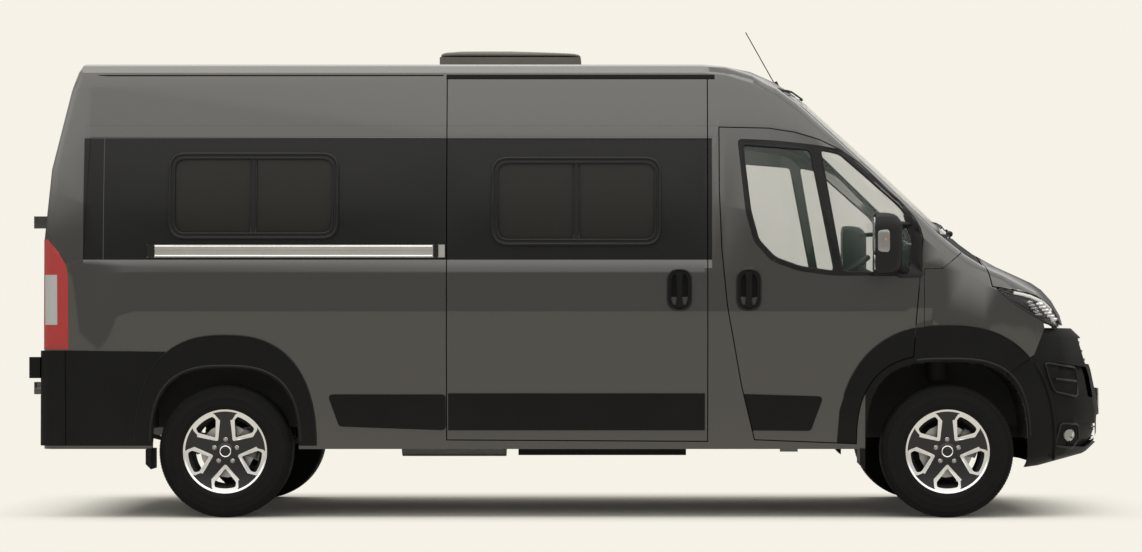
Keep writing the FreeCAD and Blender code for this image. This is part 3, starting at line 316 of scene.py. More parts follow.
@dataclass(frozen=True)
class MetallicPaint:
    """Grey metallic paint under clear lacquer, with the dark film round the side windows and painted shade
    lines along the window recess's upper edge.
    """

    colour: Colour = (0.054, 0.052, 0.0475)
    film: Colour = (0.0095, 0.0095, 0.0098)
    film_x: Span = (-2.742, 0.77)
    film_z: Span = (1.443, 2.124)
    upper_recess_shade: Span = (2.1935, 2.1965)
    lower_recess_shade: Span = (2.1325, 2.135)
    panel_x: Span = (-2.56, 1.95)
    panel_z: Span = (0.6, 1.37)
    lower_tilt: float = 0.05
    side_from: float = 0.8
    film_joint_x: Span = (-2.632, -2.628)
    recess_shade_x: Span = (-2.74, 0.8)
    dust: Colour = (0.19, 0.17, 0.145)
    joint: Colour = (0.075, 0.073, 0.068)
    # colour of the painted shade lines along the window recess's upper edge
    seam: Colour = (0.02, 0.02, 0.019)

    def build(self, effects: Effects) -> Material:
        """Makes the material.

        Args:
            effects: the shared shader groups.

        Returns:
            The finished material.
        """
        s = Shader("grey metallic paint")
        x, y, z = s.axes()
        side = s.math("GREATER_THAN", s.math("ABSOLUTE", y), self.side_from)
        film = s.times(s.band(z, *self.film_z), s.band(x, *self.film_x))
        film = s.times(film, side)
        joint = s.times(s.band(x, *self.film_joint_x, 0.0008), film)
        dust = s.group(effects.road_dust, Top=0.62, Amount=0.12).outputs[0]
        flake = s.noise(900.0, 1.0)
        tone = s.mix(s.ramp(flake, 0.3, 0.75), tuple(c * 0.86 for c in self.colour), tuple(c * 1.16 for c
            in self.colour))
        tone = s.mix(dust, tone, self.dust)
        film_tone = s.mix(joint, self.film, self.joint)
        tone = s.mix(film, tone, film_tone)
        # painted shade: two dark lines along the window recess's upper edge, where the crease is in shade
        seams = s.math("ADD", s.band(z, *self.upper_recess_shade, 0.0008), s.band(z, *self.lower_recess_shade, 0.0008))
        seams = s.times(s.times(seams, s.band(x, *self.recess_shade_x)), side)
        s.set(Base_Color=s.mix(s.times(seams, 0.7), tone, self.seam))
        s.set(Metallic=s.times(s.math("SUBTRACT", 1.0, film), 0.8))
        s.set(Roughness=s.math("ADD", s.times(dust, 0.5), s.math("SUBTRACT", 0.3, s.times(film, 0.06))))
        s.set(Coat_Weight=s.times(s.math("SUBTRACT", 1.0, s.times(dust, 0.8)), s.math("SUBTRACT", 1.0,
            s.times(film, 0.92))), Coat_Roughness=0.035, Coat_IOR=1.5, Specular_IOR_Level=0.15)
        s.bump(s.noise(220.0, 1.0), 0.012, 0.001, self.even_side(s, x, y, z))
        return s.material

    def even_side(self, s: Shader, x: Socket, y: Socket, z: Socket) -> Socket:
        """The normal of an evenly pressed panel between the sill and the ledge, else the surface's own.

        Args:
            s: the paint's shader.
            x: how far forward a place is.
            y: how far to the left it is.
            z: how high it is.

        Returns:
            The normal's socket.
        """
        own = s.node("ShaderNodeSeparateXYZ", s.node("ShaderNodeTexCoord").outputs["Normal"]).outputs
        flat = s.math("GREATER_THAN", s.math("ABSOLUTE", own[1]), 0.955)
        inside_x = s.band(x, *self.panel_x, 0.1)
        mask = s.times(flat, s.times(inside_x, s.band(z, *self.panel_z, 0.008)))
        mask = s.times(mask, s.math("GREATER_THAN", s.math("ABSOLUTE", y), 0.93))
        tilt = s.times(s.ramp(z, 1.165, 1.12), -self.lower_tilt)
        pressed = s.node("ShaderNodeCombineXYZ", 0.0, s.math("SIGN", own[1]), tilt)
        turned = s.node("ShaderNodeVectorTransform", pressed.outputs[0], setting=("vector_type", "NORMAL"))
        turned.convert_from, turned.convert_to = "OBJECT", "WORLD"
        either = s.node("ShaderNodeMix", mask, setting=("data_type", "VECTOR"))
        s.put(either, 4, s.node("ShaderNodeNewGeometry").outputs["Normal"])
        s.put(either, 5, turned.outputs[0])
        return either.outputs[1]


@dataclass(frozen=True)
class GrainedPlastic:
    """Moulded plastic with a fine grain and some dust low down."""

    name: str
    colour: Colour
    roughness: float = 0.52
    cells: float = 900.0
    grain: float = 0.25
    dust: float = 0.18
    gloss: float = 0.2

    def build(self, effects: Effects) -> Material:
        """Makes the material from the shared grain and dust.

        Args:
            effects: the shared shader groups.

        Returns:
            The material.
        """
        s = Shader(self.name)
        grain = s.group(effects.grain, Cells_per_metre=self.cells)
        dust = s.group(effects.road_dust, Top=0.7, Amount=self.dust).outputs[0]
        tone = s.mix(grain.outputs[1], self.colour, tuple(c * 0.72 for c in self.colour))
        wear = s.ramp(s.noise(3.5, 5.0), 0.42, 0.72)
        tone = s.mix(s.times(wear, 0.25), tone, tuple(c * 1.35 for c in self.colour))
        s.set(Base_Color=s.mix(dust, tone, (0.13, 0.12, 0.105)))
        s.set(Roughness=s.math("ADD", self.roughness, s.times(s.math("SUBTRACT", wear, 0.5), 0.1)))
        s.set(Specular_IOR_Level=self.gloss)
        s.bump(grain.outputs[0], self.grain, 0.0004)
        return s.material


@dataclass(frozen=True)
class Gloss:
    """A smooth hard surface, plain metal or lacquer, with faint unevenness."""

    name: str
    colour: Colour
    roughness: float = 0.12
    metallic: float = 0.0
    coat: float = 0.0
    uneven: float = 0.05
    gloss: float = 0.5

    def build(self, effects: Effects) -> Material:
        """Makes the material.

        Args:
            effects: the shared shader groups.

        Returns:
            The material.
        """
        s = Shader(self.name)
        stain = s.noise(9.0, 6.0)
        s.set(Base_Color=s.mix(stain, tuple(c * 0.92 for c in self.colour), tuple(min(c * 1.08, 1.0) for c
            in self.colour)))
        s.set(Roughness=s.math("ADD", self.roughness, s.times(stain, self.uneven)))
        s.set(Metallic=self.metallic, Coat_Weight=self.coat, Coat_Roughness=0.05,
            Specular_IOR_Level=self.gloss)
        return s.material


@dataclass(frozen=True)
class ClearGlass:
    """Glass that shows what is behind it, with a little tint."""

    name: str
    colour: Colour
    roughness: float = 0.0
    alpha: float = 0.25

    def build(self, effects: Effects) -> Material:
        """Makes the material as a thin tinted sheet with clear gloss.

        Args:
            effects: the shared shader groups.

        Returns:
            The material.
        """
        s = Shader(self.name)
        streak = s.noise(4.0, 5.0)
        s.set(Base_Color=(*self.colour, 1.0), Roughness=self.roughness, IOR=1.5)
        s.set(Alpha=s.blend(streak, self.alpha, self.alpha * 1.06))
        s.set(Specular_IOR_Level=0.9, Coat_Weight=1.0, Coat_Roughness=0.02)
        s.material.surface_render_method = "BLENDED"
        return s.material


@dataclass(frozen=True)
class Rubber:
    """Tyre rubber, dusty and worn on the tread."""

    name: str = "tyre rubber"
    colour: Colour = (0.008, 0.008, 0.0078)
    worn: Colour = (0.017, 0.016, 0.0145)

    def build(self, effects: Effects) -> Material:
        """Makes the material.

        Args:
            effects: the shared shader groups.

        Returns:
            The material.
        """
        s = Shader(self.name)
        grain = s.group(effects.grain, Cells_per_metre=1500.0)
        patches = s.ramp(s.noise(14.0, 6.0), 0.4, 0.72)
        s.set(Base_Color=s.mix(s.times(patches, 0.35), self.colour, self.worn), Specular_IOR_Level=0.06)
        s.set(Roughness=s.blend(patches, 0.62, 0.82))
        s.bump(grain.outputs[0], 0.15, 0.0003)
        return s.material


@dataclass(frozen=True)
class TailLens:
    """A red lamp lens with a clear part for the reversing lamp and the indicator."""

    red: Colour = (0.36, 0.01, 0.01)
    clear: Colour = (0.42, 0.43, 0.43)
    clear_x: Span = (-2.96, -2.887)
    clear_z: Span = (1.08, 1.358)

    def build(self, effects: Effects) -> Material:
        """Makes the material.

        Args:
            effects: the shared shader groups.

        Returns:
            The material.
        """
        s = Shader("tail lamp lens")
        x, y, z = s.axes()
        inner = s.times(s.band(z, *self.clear_z), s.band(x, *self.clear_x))
        tone = s.mix(inner, self.red, self.clear)
        ribs = s.math("SINE", s.times(z, 900.0))
        s.set(Base_Color=tone, Roughness=0.14, Coat_Weight=0.4, Coat_Roughness=0.03)
        s.set(Metallic=s.times(inner, 0.25))
        s.bump(ribs, 0.18, 0.0008)
        return s.material


@dataclass(frozen=True)
class Cloth:
    """Woven seat cloth."""

    name: str
    colour: Colour
    threads: float = 900.0

    def build(self, effects: Effects) -> Material:
        """Makes the material from two crossing sets of threads.

        Args:
            effects: the shared shader groups.

        Returns:
            The material.
        """
        s = Shader(self.name)
        x, y, z = s.axes()
        warp = s.math("SINE", s.times(s.math("ADD", x, z), self.threads))
        weft = s.math("SINE", s.times(y, self.threads))
        weave = s.times(warp, weft)
        shade = s.ramp(weave, -1.0, 1.0)
        s.set(Base_Color=s.mix(shade, tuple(c * 0.7 for c in self.colour), tuple(c * 1.3 for c in
            self.colour)))
        s.set(Roughness=0.9, Sheen_Weight=0.3)
        s.bump(weave, 0.3, 0.0005)
        return s.material


FINISHES = {
    "paint": MetallicPaint(),
    "plastic": GrainedPlastic("black grained plastic", (0.0095, 0.0095, 0.0088), dust=0.05, gloss=0.06),
    "smooth_plastic": GrainedPlastic("smooth black plastic", (0.0085,) * 3, 0.36, 1600.0, 0.08, 0.05),
    "cabin": GrainedPlastic("dark cabin plastic", (0.028, 0.028, 0.029), 0.6, 500.0, 0.3, 0.0),
    "white_plastic": GrainedPlastic("grey roof vent plastic", (0.15, 0.14, 0.122), 0.38, 600.0, 0.06, 0.0),
    "underseal": GrainedPlastic("black underseal", (0.02, 0.0195, 0.0185), 0.7, 220.0, 0.5, 0.3),
    "rubber_seal": GrainedPlastic("rubber seal", (0.009,) * 3, 0.6, 1500.0, 0.05, 0.0),
    "gloss_black": Gloss("gloss black", (0.01,) * 3, 0.1, 0.0, 1.0),
    "window": Gloss("dark acrylic window", (0.021, 0.0208, 0.0185), 0.1, 0.0, 0.0, 0.03, 0.12),
    "silver": Gloss("anodised silver", (0.33, 0.32, 0.3), 0.34, 1.0, 0.0, 0.08),
    "steel": Gloss("machined steel", (0.42, 0.41, 0.4), 0.34, 1.0, 0.0, 0.12),
    "machined": Gloss("machined bright alloy", (0.7, 0.69, 0.67), 0.24, 1.0, 0.3, 0.05),
    "alloy": Gloss("black alloy lacquer", (0.007, 0.007, 0.0072), 0.28, 0.0, 0.25, 0.05, 0.3),
    "satin_black": GrainedPlastic("satin black trim", (0.0075, 0.0075, 0.0078), 0.3, 1600.0, 0.02, 0.0),
    "mirror": Gloss("mirror glass", (0.86, 0.87, 0.87), 0.02, 1.0, 0.0, 0.01),
    "frosted": Gloss("frosted lamp lens", (0.22, 0.215, 0.205), 0.16, 0.2, 1.0),
    "amber": Gloss("amber bulb", (0.6, 0.17, 0.02), 0.2, 0.0, 1.0),
    "plate": Gloss("blank number plate", (0.62, 0.62, 0.6), 0.35),
    "dull_alloy": Gloss("dark dull alloy", (0.03, 0.03, 0.031), 0.45, 0.5, 0.0, 0.1),
    "cast": Gloss("cast iron", (0.2, 0.195, 0.185), 0.55, 0.7, 0.0, 0.2),
    "chrome": Gloss("lamp reflector", (0.55, 0.55, 0.56), 0.1, 1.0),
    "lamp_white": Gloss("lamp white", (0.75, 0.75, 0.73), 0.2),
    "red": Gloss("red plastic", (0.5, 0.02, 0.02), 0.2, 0.0, 1.0),
    "glass": ClearGlass("clear cab glass", (0.032, 0.07, 0.044), 0.0, 0.16),
    "rear_glass": ClearGlass("dark rear glass", (0.012,) * 3, 0.0, 0.88),
    "lens": ClearGlass("clear lamp lens", (0.1,) * 3, 0.0, 0.12),
    "tyre": Rubber(),
    "tail": TailLens(),
    "cloth": Cloth("woven seat cloth", (0.045, 0.045, 0.05)),
}


@dataclass
class Finishes:
    """Every finish on the van, made once."""

    effects: Effects = field(default_factory=Effects)
    made: dict[str, Material] = field(default_factory=dict)

    def build(self) -> "Finishes":
        """Makes all the materials."""
        self.made = {key: finish.build(self.effects) for key, finish in FINISHES.items()}
        return self

    def __getitem__(self, key: str) -> Material:
        """The material of one finish."""
        return self.made[key]


# Mesh tools


def loft(rings: Sequence[Points], cyclic: bool = False, closed: bool = True, caps: bool = False) -> Mesh:
    """Joins rings that have as many points each with a skin of quads.

    Args:
        rings: the rings in order.
        cyclic: whether the last ring joins the first.
        closed: whether each ring is closed.
        caps: whether the first and the last ring are filled.

    Returns:
        The points and the faces.
    """
    count = len(rings[0])
    verts = [Vector(point) for ring in rings for point in ring]
    faces = []
    for index in range(len(rings) if cyclic else len(rings) - 1):
        near, far = index * count, (index + 1) % len(rings) * count
        for step in range(count if closed else count - 1):
            after = (step + 1) % count
            faces.append((near + step, near + after, far + after, far + step))
    if caps:
        faces.append(tuple(range(count)))
        faces.append(tuple(range(len(verts) - count, len(verts))))
    return verts, faces


def joined(meshes: Iterable[Mesh]) -> Mesh:
    """Several meshes as one."""
    verts: list[Vector] = []
    faces: list[tuple[int, ...]] = []
    for points, corners in meshes:
        faces += [tuple(index + len(verts) for index in face) for face in corners]
        verts += points
    return verts, faces


def circle(radius: float, count: int, centre: Sequence[float] = (0.0, 0.0)) -> Path:
    """Places evenly round a circle."""
    turns = [math.tau * step / count for step in range(count)]
    return [(centre[0] + radius * math.cos(t), centre[1] + radius * math.sin(t)) for t in turns]


def bulged(wave: float, power: float) -> float:
    """A sine or a cosine raised to a power with its sign kept."""
    return math.copysign(abs(wave) ** power, wave)


def soft_square(count: int, power: float) -> Path:
    """Places round a square from -1 to 1 whose corners are the sharper, the smaller the power is."""
    return [(bulged(c, power), bulged(s, power)) for c, s in circle(1.0, count)]


def spaced(outline: Outline, spacing: float, closed: bool = True) -> Path:
    """Places along an outline, no further apart than the spacing.

    Args:
        outline: the corners.
        spacing: the longest step.
        closed: whether the last corner leads back to the first.

    Returns:
        The places in order.
    """
    points = list(outline) + (list(outline[:1]) if closed else [])
    path = []
    for (a0, b0), (a1, b1) in zip(points, points[1:]):
        count = max(1, round(math.hypot(a1 - a0, b1 - b0) / spacing))
        path += [(a0 + (a1 - a0) * i / count, b0 + (b1 - b0) * i / count) for i in range(count)]
    return path if closed else path + [points[-1]]


def lathe(profile: Outline, centre: Vector, side: int, count: int = 96, closed: bool = False) -> Mesh:
    """Turns a profile about a wheel's axis.

    Args:
        profile: its (radius, outward) points.
        centre: the middle of the wheel.
        side: the van's side, towards which the profile's outward points.
        count: how many rings are made.
        closed: whether the profile is a loop.

    Returns:
        The turned mesh.
    """
    rings = [[centre + Vector((r * c, side * out, r * s)) for r, out in profile]
        for c, s in circle(1.0, count)]
    return loft(rings, cyclic=True, closed=closed)


def tube(path: Points, width: float, height: float, out: Points = (0.0, -1.0, 0.0), closed: bool = False,
        sides: int = 10, taper: float = 1.0) -> Mesh:
    """A bar with an oval section along a path.

    Args:
        path: the points that its middle follows.
        width: its size across the path and across the outward direction.
        height: its size along the outward direction.
        out: the outward direction.
        closed: whether the path is a loop.
        sides: how many flats the section has.
        taper: the share of the section that is left at the path's end.

    Returns:
        The bar's mesh.
    """
    points = [Vector(point) for point in path]
    rings = []
    for index, point in enumerate(points):
        before = points[index - 1] if closed or index else point
        after = points[(index + 1) % len(points)] if closed or index < len(points) - 1 else point
        along = (after - before).normalized()
        across = along.cross(Vector(out)).normalized()
        rise = across.cross(along)
        size = 1 - (1 - taper) * index / len(points)
        rings.append([point + across * (size * width / 2 * c) + rise * (size * height / 2 * s)
            for c, s in circle(1.0, sides)])
    return loft(rings, cyclic=closed, caps=not closed)


def block(low: Sequence[float], high: Sequence[float], power: float = 5.0, rings: int = 9,
        sides: int = 28) -> Mesh:
    """A box with softly rounded edges, drawn in level rings.

    Args:
        low: its lowest corner.
        high: its highest corner.
        power: how square it is, from 2 for an egg upwards.
        rings: how many steps it has from its bottom to its top.
        sides: how many points each ring has.

    Returns:
        The box's mesh.
    """
    middle = [(a + b) / 2 for a, b in zip(low, high)]
    half = [(b - a) / 2 for a, b in zip(low, high)]
    loops = []
    for index in range(rings + 1):
        lift = math.pi * (index / rings - 0.5)
        rise = middle[2] + half[2] * bulged(math.sin(lift), 2 / power)
        share = max(math.cos(lift), 0.02) ** (2 / power)
        loops.append([(middle[0] + half[0] * share * a, middle[1] + half[1] * share * b, rise)
            for a, b in soft_square(sides, 2 / power)])
    return loft(loops, caps=True)


def rounded(points: Outline, radius: float, steps: int = 5) -> Path:
    """A closed outline with its corners turned in short curves.

    Args:
        points: the outline's corners.
        radius: how far from a corner its curve starts.
        steps: how many steps a curve has.

    Returns:
        The outline with curves for corners.
    """
    result = []
    for index, corner in enumerate(points):
        here = Vector(corner)
        back = Vector(points[index - 1]) - here
        ahead = Vector(points[(index + 1) % len(points)]) - here
        cut_back = min(radius, 0.45 * back.length)
        cut_ahead = min(radius, 0.45 * ahead.length)
        first, last = here + back.normalized() * cut_back, here + ahead.normalized() * cut_ahead
        for step in range(steps + 1):
            t = step / steps
            result.append(tuple(first * (1 - t) ** 2 + here * 2 * t * (1 - t) + last * t * t))
    return result


def rectangle(x0: float, x1: float, z0: float, z1: float, inset: float = 0.0) -> Path:
    """A rectangle's corners, moved in by the inset."""
    return [(x0 + inset, z0 + inset), (x1 - inset, z0 + inset), (x1 - inset, z1 - inset), (x0 + inset, z1
        - inset)]


def arch(axle_x: float, half: float, top: float, power: float, start: float, end: float,
         chords: int = 40) -> Path:
    """A stretch of a wheel arch as (x, z) points, from its front round to its rear.

    Args:
        axle_x: where the axle is.
        half: half the arch's width.
        top: how high it is.
        power: how square it is.
        start: the angle in degrees where it begins, 0 being ahead.
        end: the angle where it ends.
        chords: how many steps it has.

    Returns:
        The stretch's points.
    """
    points = []
    for step in range(chords + 1):
        turn = math.radians(start + (end - start) * step / chords)
        across = bulged(math.cos(turn), 2 / power) * half
        rise = (top - TYRE_RADIUS) * abs(math.sin(turn)) ** (2 / power)
        points.append((axle_x + across, TYRE_RADIUS + math.copysign(rise, math.sin(turn))))
    return points


def bend(start: Sequence[float], control: Sequence[float], end: Sequence[float], chords: int = 6) -> Path:
    """A curve from start to end that is pulled towards a control point.

    Args:
        start: where it starts.
        control: the point that pulls it.
        end: where it ends.
        chords: how many steps it has.

    Returns:
        The curve's points.
    """
    curve = []
    for step in range(chords + 1):
        t = step / chords
        curve.append(tuple(a * (1 - t) ** 2 + b * 2 * t * (1 - t) + c * t * t for a, b, c in zip(start,
            control, end)))
    return curve


def inside(x: float, z: float, outline: Outline) -> bool:
    """Whether a place lies within a closed outline."""
    found = False
    for (x0, z0), (x1, z1) in zip(outline, list(outline[1:]) + [outline[0]]):
        if (z0 > z) != (z1 > z) and x < (x1 - x0) * (z - z0) / (z1 - z0) + x0:
            found = not found
    return found


def sheet(outline: Outline, holes: Sequence[Outline], step: float) -> tuple[Path, list[tuple[int, ...]]]:
    """Fills an outline with triangles, with points inside it every step.

    Args:
        outline: its outer outline.
        holes: the outlines of its openings.
        step: how far apart the points inside it lie.

    Returns:
        The points and the triangles.
    """
    points: Path = []
    edges = []
    for loop in [outline, *holes]:
        base = len(points)
        points += list(loop)
        edges += [(base + i, base + (i + 1) % len(loop)) for i in range(len(loop))]
    low = [min(p[axis] for p in outline) for axis in (0, 1)]
    high = [max(p[axis] for p in outline) for axis in (0, 1)]
    for i in range(1, int((high[0] - low[0]) / step) + 1):
        for k in range(1, int((high[1] - low[1]) / step) + 1):
            x, z = low[0] + i * step, low[1] + k * step
            if inside(x, z, outline) and not any(inside(x, z, hole) for hole in holes):
                points.append((x, z))
    made = delaunay_2d_cdt([Vector(p) for p in points], edges, [], 0, 1e-6)
    verts = [(v.x, v.y) for v in made[0]]
    faces = []
    for face in made[2]:
        x = sum(verts[i][0] for i in face) / len(face)
        z = sum(verts[i][1] for i in face) / len(face)
        if inside(x, z, outline) and not any(inside(x, z, hole) for hole in holes):
            faces.append(tuple(face))
    return verts, faces


def closed_sheet(outline: Outline, holes: Sequence[Outline], step: float, top: Callable[[float, float],
        Vector], bottom: Callable[[float, float], Vector]) -> Mesh:
    """A closed plate between two surfaces that are given as functions of two coordinates.

    Args:
        outline: its outer outline.
        holes: the outlines of its openings.
        step: how far apart the points inside it lie.
        top: the upper surface.
        bottom: the lower surface.

    Returns:
        The plate's mesh.
    """
    points, faces = sheet(outline, holes, step)
    count = len(points)
    verts = [top(a, b) for a, b in points] + [bottom(a, b) for a, b in points]
    result = list(faces) + [tuple(count + i for i in reversed(face)) for face in faces]
    edges = {pair for face in faces for pair in zip(face, face[1:] + face[:1])}
    for a, b in sorted(edges):
        if (b, a) not in edges:
            result.append((b, a, count + a, count + b))
    return verts, result


class Skin:
    """Finds the van's outside, so that pieces lie on it."""

    SAMPLE = 0.013
    DEEP = 0.02
    SIDE_START = 1.5
    SIDE_REACH = 1.2
    END_START = 4.0
    END_REACH = {1: 2.9, -1: 1.3}

    def __init__(self, nodes: dict[str, Object], names: Sequence[str]) -> None:
        """Reads the solids that are searched.

        Args:
            nodes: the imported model's nodes.
            names: the nodes that make up the skin.
        """
        parts = [nodes[name].data for name in names]
        self.tree = BVHTree.FromPolygons(*joined(([v.co.copy() for v in part.vertices],
            [tuple(p.vertices) for p in part.polygons]) for part in parts))

    @staticmethod
    def outward(axis: int, way: int) -> Vector:
        """The direction of an axis, or against it if way is -1."""
        direction = Vector((0.0, 0.0, 0.0))
        direction[axis] = way
        return direction

    def outermost(self, place: Sequence[float], axis: int, way: int, reach: float, steep: float,
            margin: float) -> tuple[float | None, Vector]:
        """How far out the skin lies near a line of sight, gaps and openings bridged.

        Args:
            place: where the rays start, outside the van.
            axis: the axis that they follow.
            way: 1 or -1, the side of the van that the skin is on.
            reach: how long they are.
            steep: the least share of the skin's normal along the axis.
            margin: how much further out a neighbour has to lie to count.

        Returns:
            The skin's coordinate, or None where there is none, and its normal.
        """
        best, normal = None, self.outward(axis, way)
        first, second = [k for k in range(3) if k != axis]
        for k, shift in ((first, 0.0), (first, self.SAMPLE), (first, -self.SAMPLE), (second, self.SAMPLE),
                (second, -self.SAMPLE)):
            start = list(place)
            start[k] += shift
            hit, facing, _, _ = self.tree.ray_cast(Vector(start), self.outward(axis, -way), reach)
            if hit is not None and abs(facing[axis]) > steep and (best is None or way * hit[axis] > way * best
                    + margin):
                best, normal = hit[axis], facing
        return best, normal

    def lifted(self, point: Vector, normal: Vector, axis: int, way: int, lift: float) -> Vector:
        """A point moved off the skin, and straight along the axis if it moves far.

        Args:
            point: the point on the skin.
            normal: the skin's normal there, to either side.
            axis: the axis that the skin was searched along.
            way: 1 or -1, the side of the van that the skin is on.
            lift: how far outward the point moves.

        Returns:
            The moved point.
        """
        if abs(lift) > self.DEEP:
            normal = self.outward(axis, way)
        return point + normal * (lift if normal[axis] * way > 0 else -lift)

    def at(self, x: float, z: float, side: int, lift: float = 0.0) -> Vector:
        """The point above the skin at a place in side view.

        Args:
            x: how far forward it is.
            z: how high it is.
            side: the van's side.
            lift: how far outward the point is moved.

        Returns:
            The point, on the nearest skin if the place is beside all of it.
        """
        best, normal = self.outermost((x, side * self.SIDE_START, z), 1, side, self.SIDE_REACH, 0.3, 0.004)
        if best is None:
            (x, best, z), normal, _, _ = self.tree.find_nearest(Vector((x, side * 0.9, z)))
        return self.lifted(Vector((x, best, z)), normal, 1, side, lift)

    def front(self, y: float, z: float, lift: float = 0.0, way: int = 1) -> Vector:
        """The point off the skin at a place seen from ahead, or from behind if way is -1.

        Args:
            y: how far to the left it is.
            z: how high it is.
            lift: how far outward the point is moved.
            way: 1 for the front and -1 for the rear.

        Returns:
            The point, level with the nearest skin if the place is beside all of it.
        """
        best, normal = self.outermost((way * self.END_START, y, z), 0, way, self.END_REACH[way], 0.2, 0.02)
        if best is None:
            best = way * 2.6
            for _ in range(12):
                best = self.tree.find_nearest(Vector((best, y, z)))[0].x
        return self.lifted(Vector((best, y, z)), normal, 0, way, lift)

    def across(self, way: int, outline: Outline, lift: float, spacing: float = 0.05) -> list[Vector]:
        """A closed path over the front or the rear skin along an outline of (y, z) points."""
        return [self.front(y, z, lift, way) for y, z in spaced(outline, spacing)]

    def faced(self, way: int, outline: Outline, holes: Sequence[Outline], step: float, lift: float,
            depth: float) -> Mesh:
        """A closed plate on the front or the rear skin, its outline in (y, z) points.

        Args:
            way: 1 for the front and -1 for the rear.
            outline: its outline as seen from there.
            holes: its openings.
            step: how far apart its inner points lie.
            lift: how far its face stands off the skin.
            depth: how thick it is.

        Returns:
            The plate's mesh.
        """
        return closed_sheet(outline, holes, step, lambda y, z: self.front(y, z, lift, way),
            lambda y, z: self.front(y, z, lift - depth, way))

    def laid(self, side: int, outline: Outline, holes: Sequence[Outline], step: float, lift: float,
            depth: float) -> Mesh:
        """A closed plate on the side's skin, as faced makes it on the ends."""
        return closed_sheet(outline, holes, step, lambda x, z: self.at(x, z, side, lift),
            lambda x, z: self.at(x, z, side, lift - depth))

    def bead(self, side: int, outline: Outline, width: float, height: float, lift: float = 0.0,
            closed: bool = True, spacing: float = 0.02, sides: int = 8) -> Mesh:
        """A rounded bead along an outline on the side's skin.

        Args:
            side: the van's side.
            outline: the places that it passes, in side view.
            width: its width on the skin.
            height: its size off the skin.
            lift: how far its middle stands off the skin.
            closed: whether it is a loop.
            spacing: how far apart its rings lie at most.
            sides: how many flats its section has.

        Returns:
            The bead's mesh.
        """
        path = [self.at(x, z, side, lift) for x, z in spaced(outline, spacing, closed)]
        return tube(path, width, height, (0.0, float(side), 0.0), closed, sides)


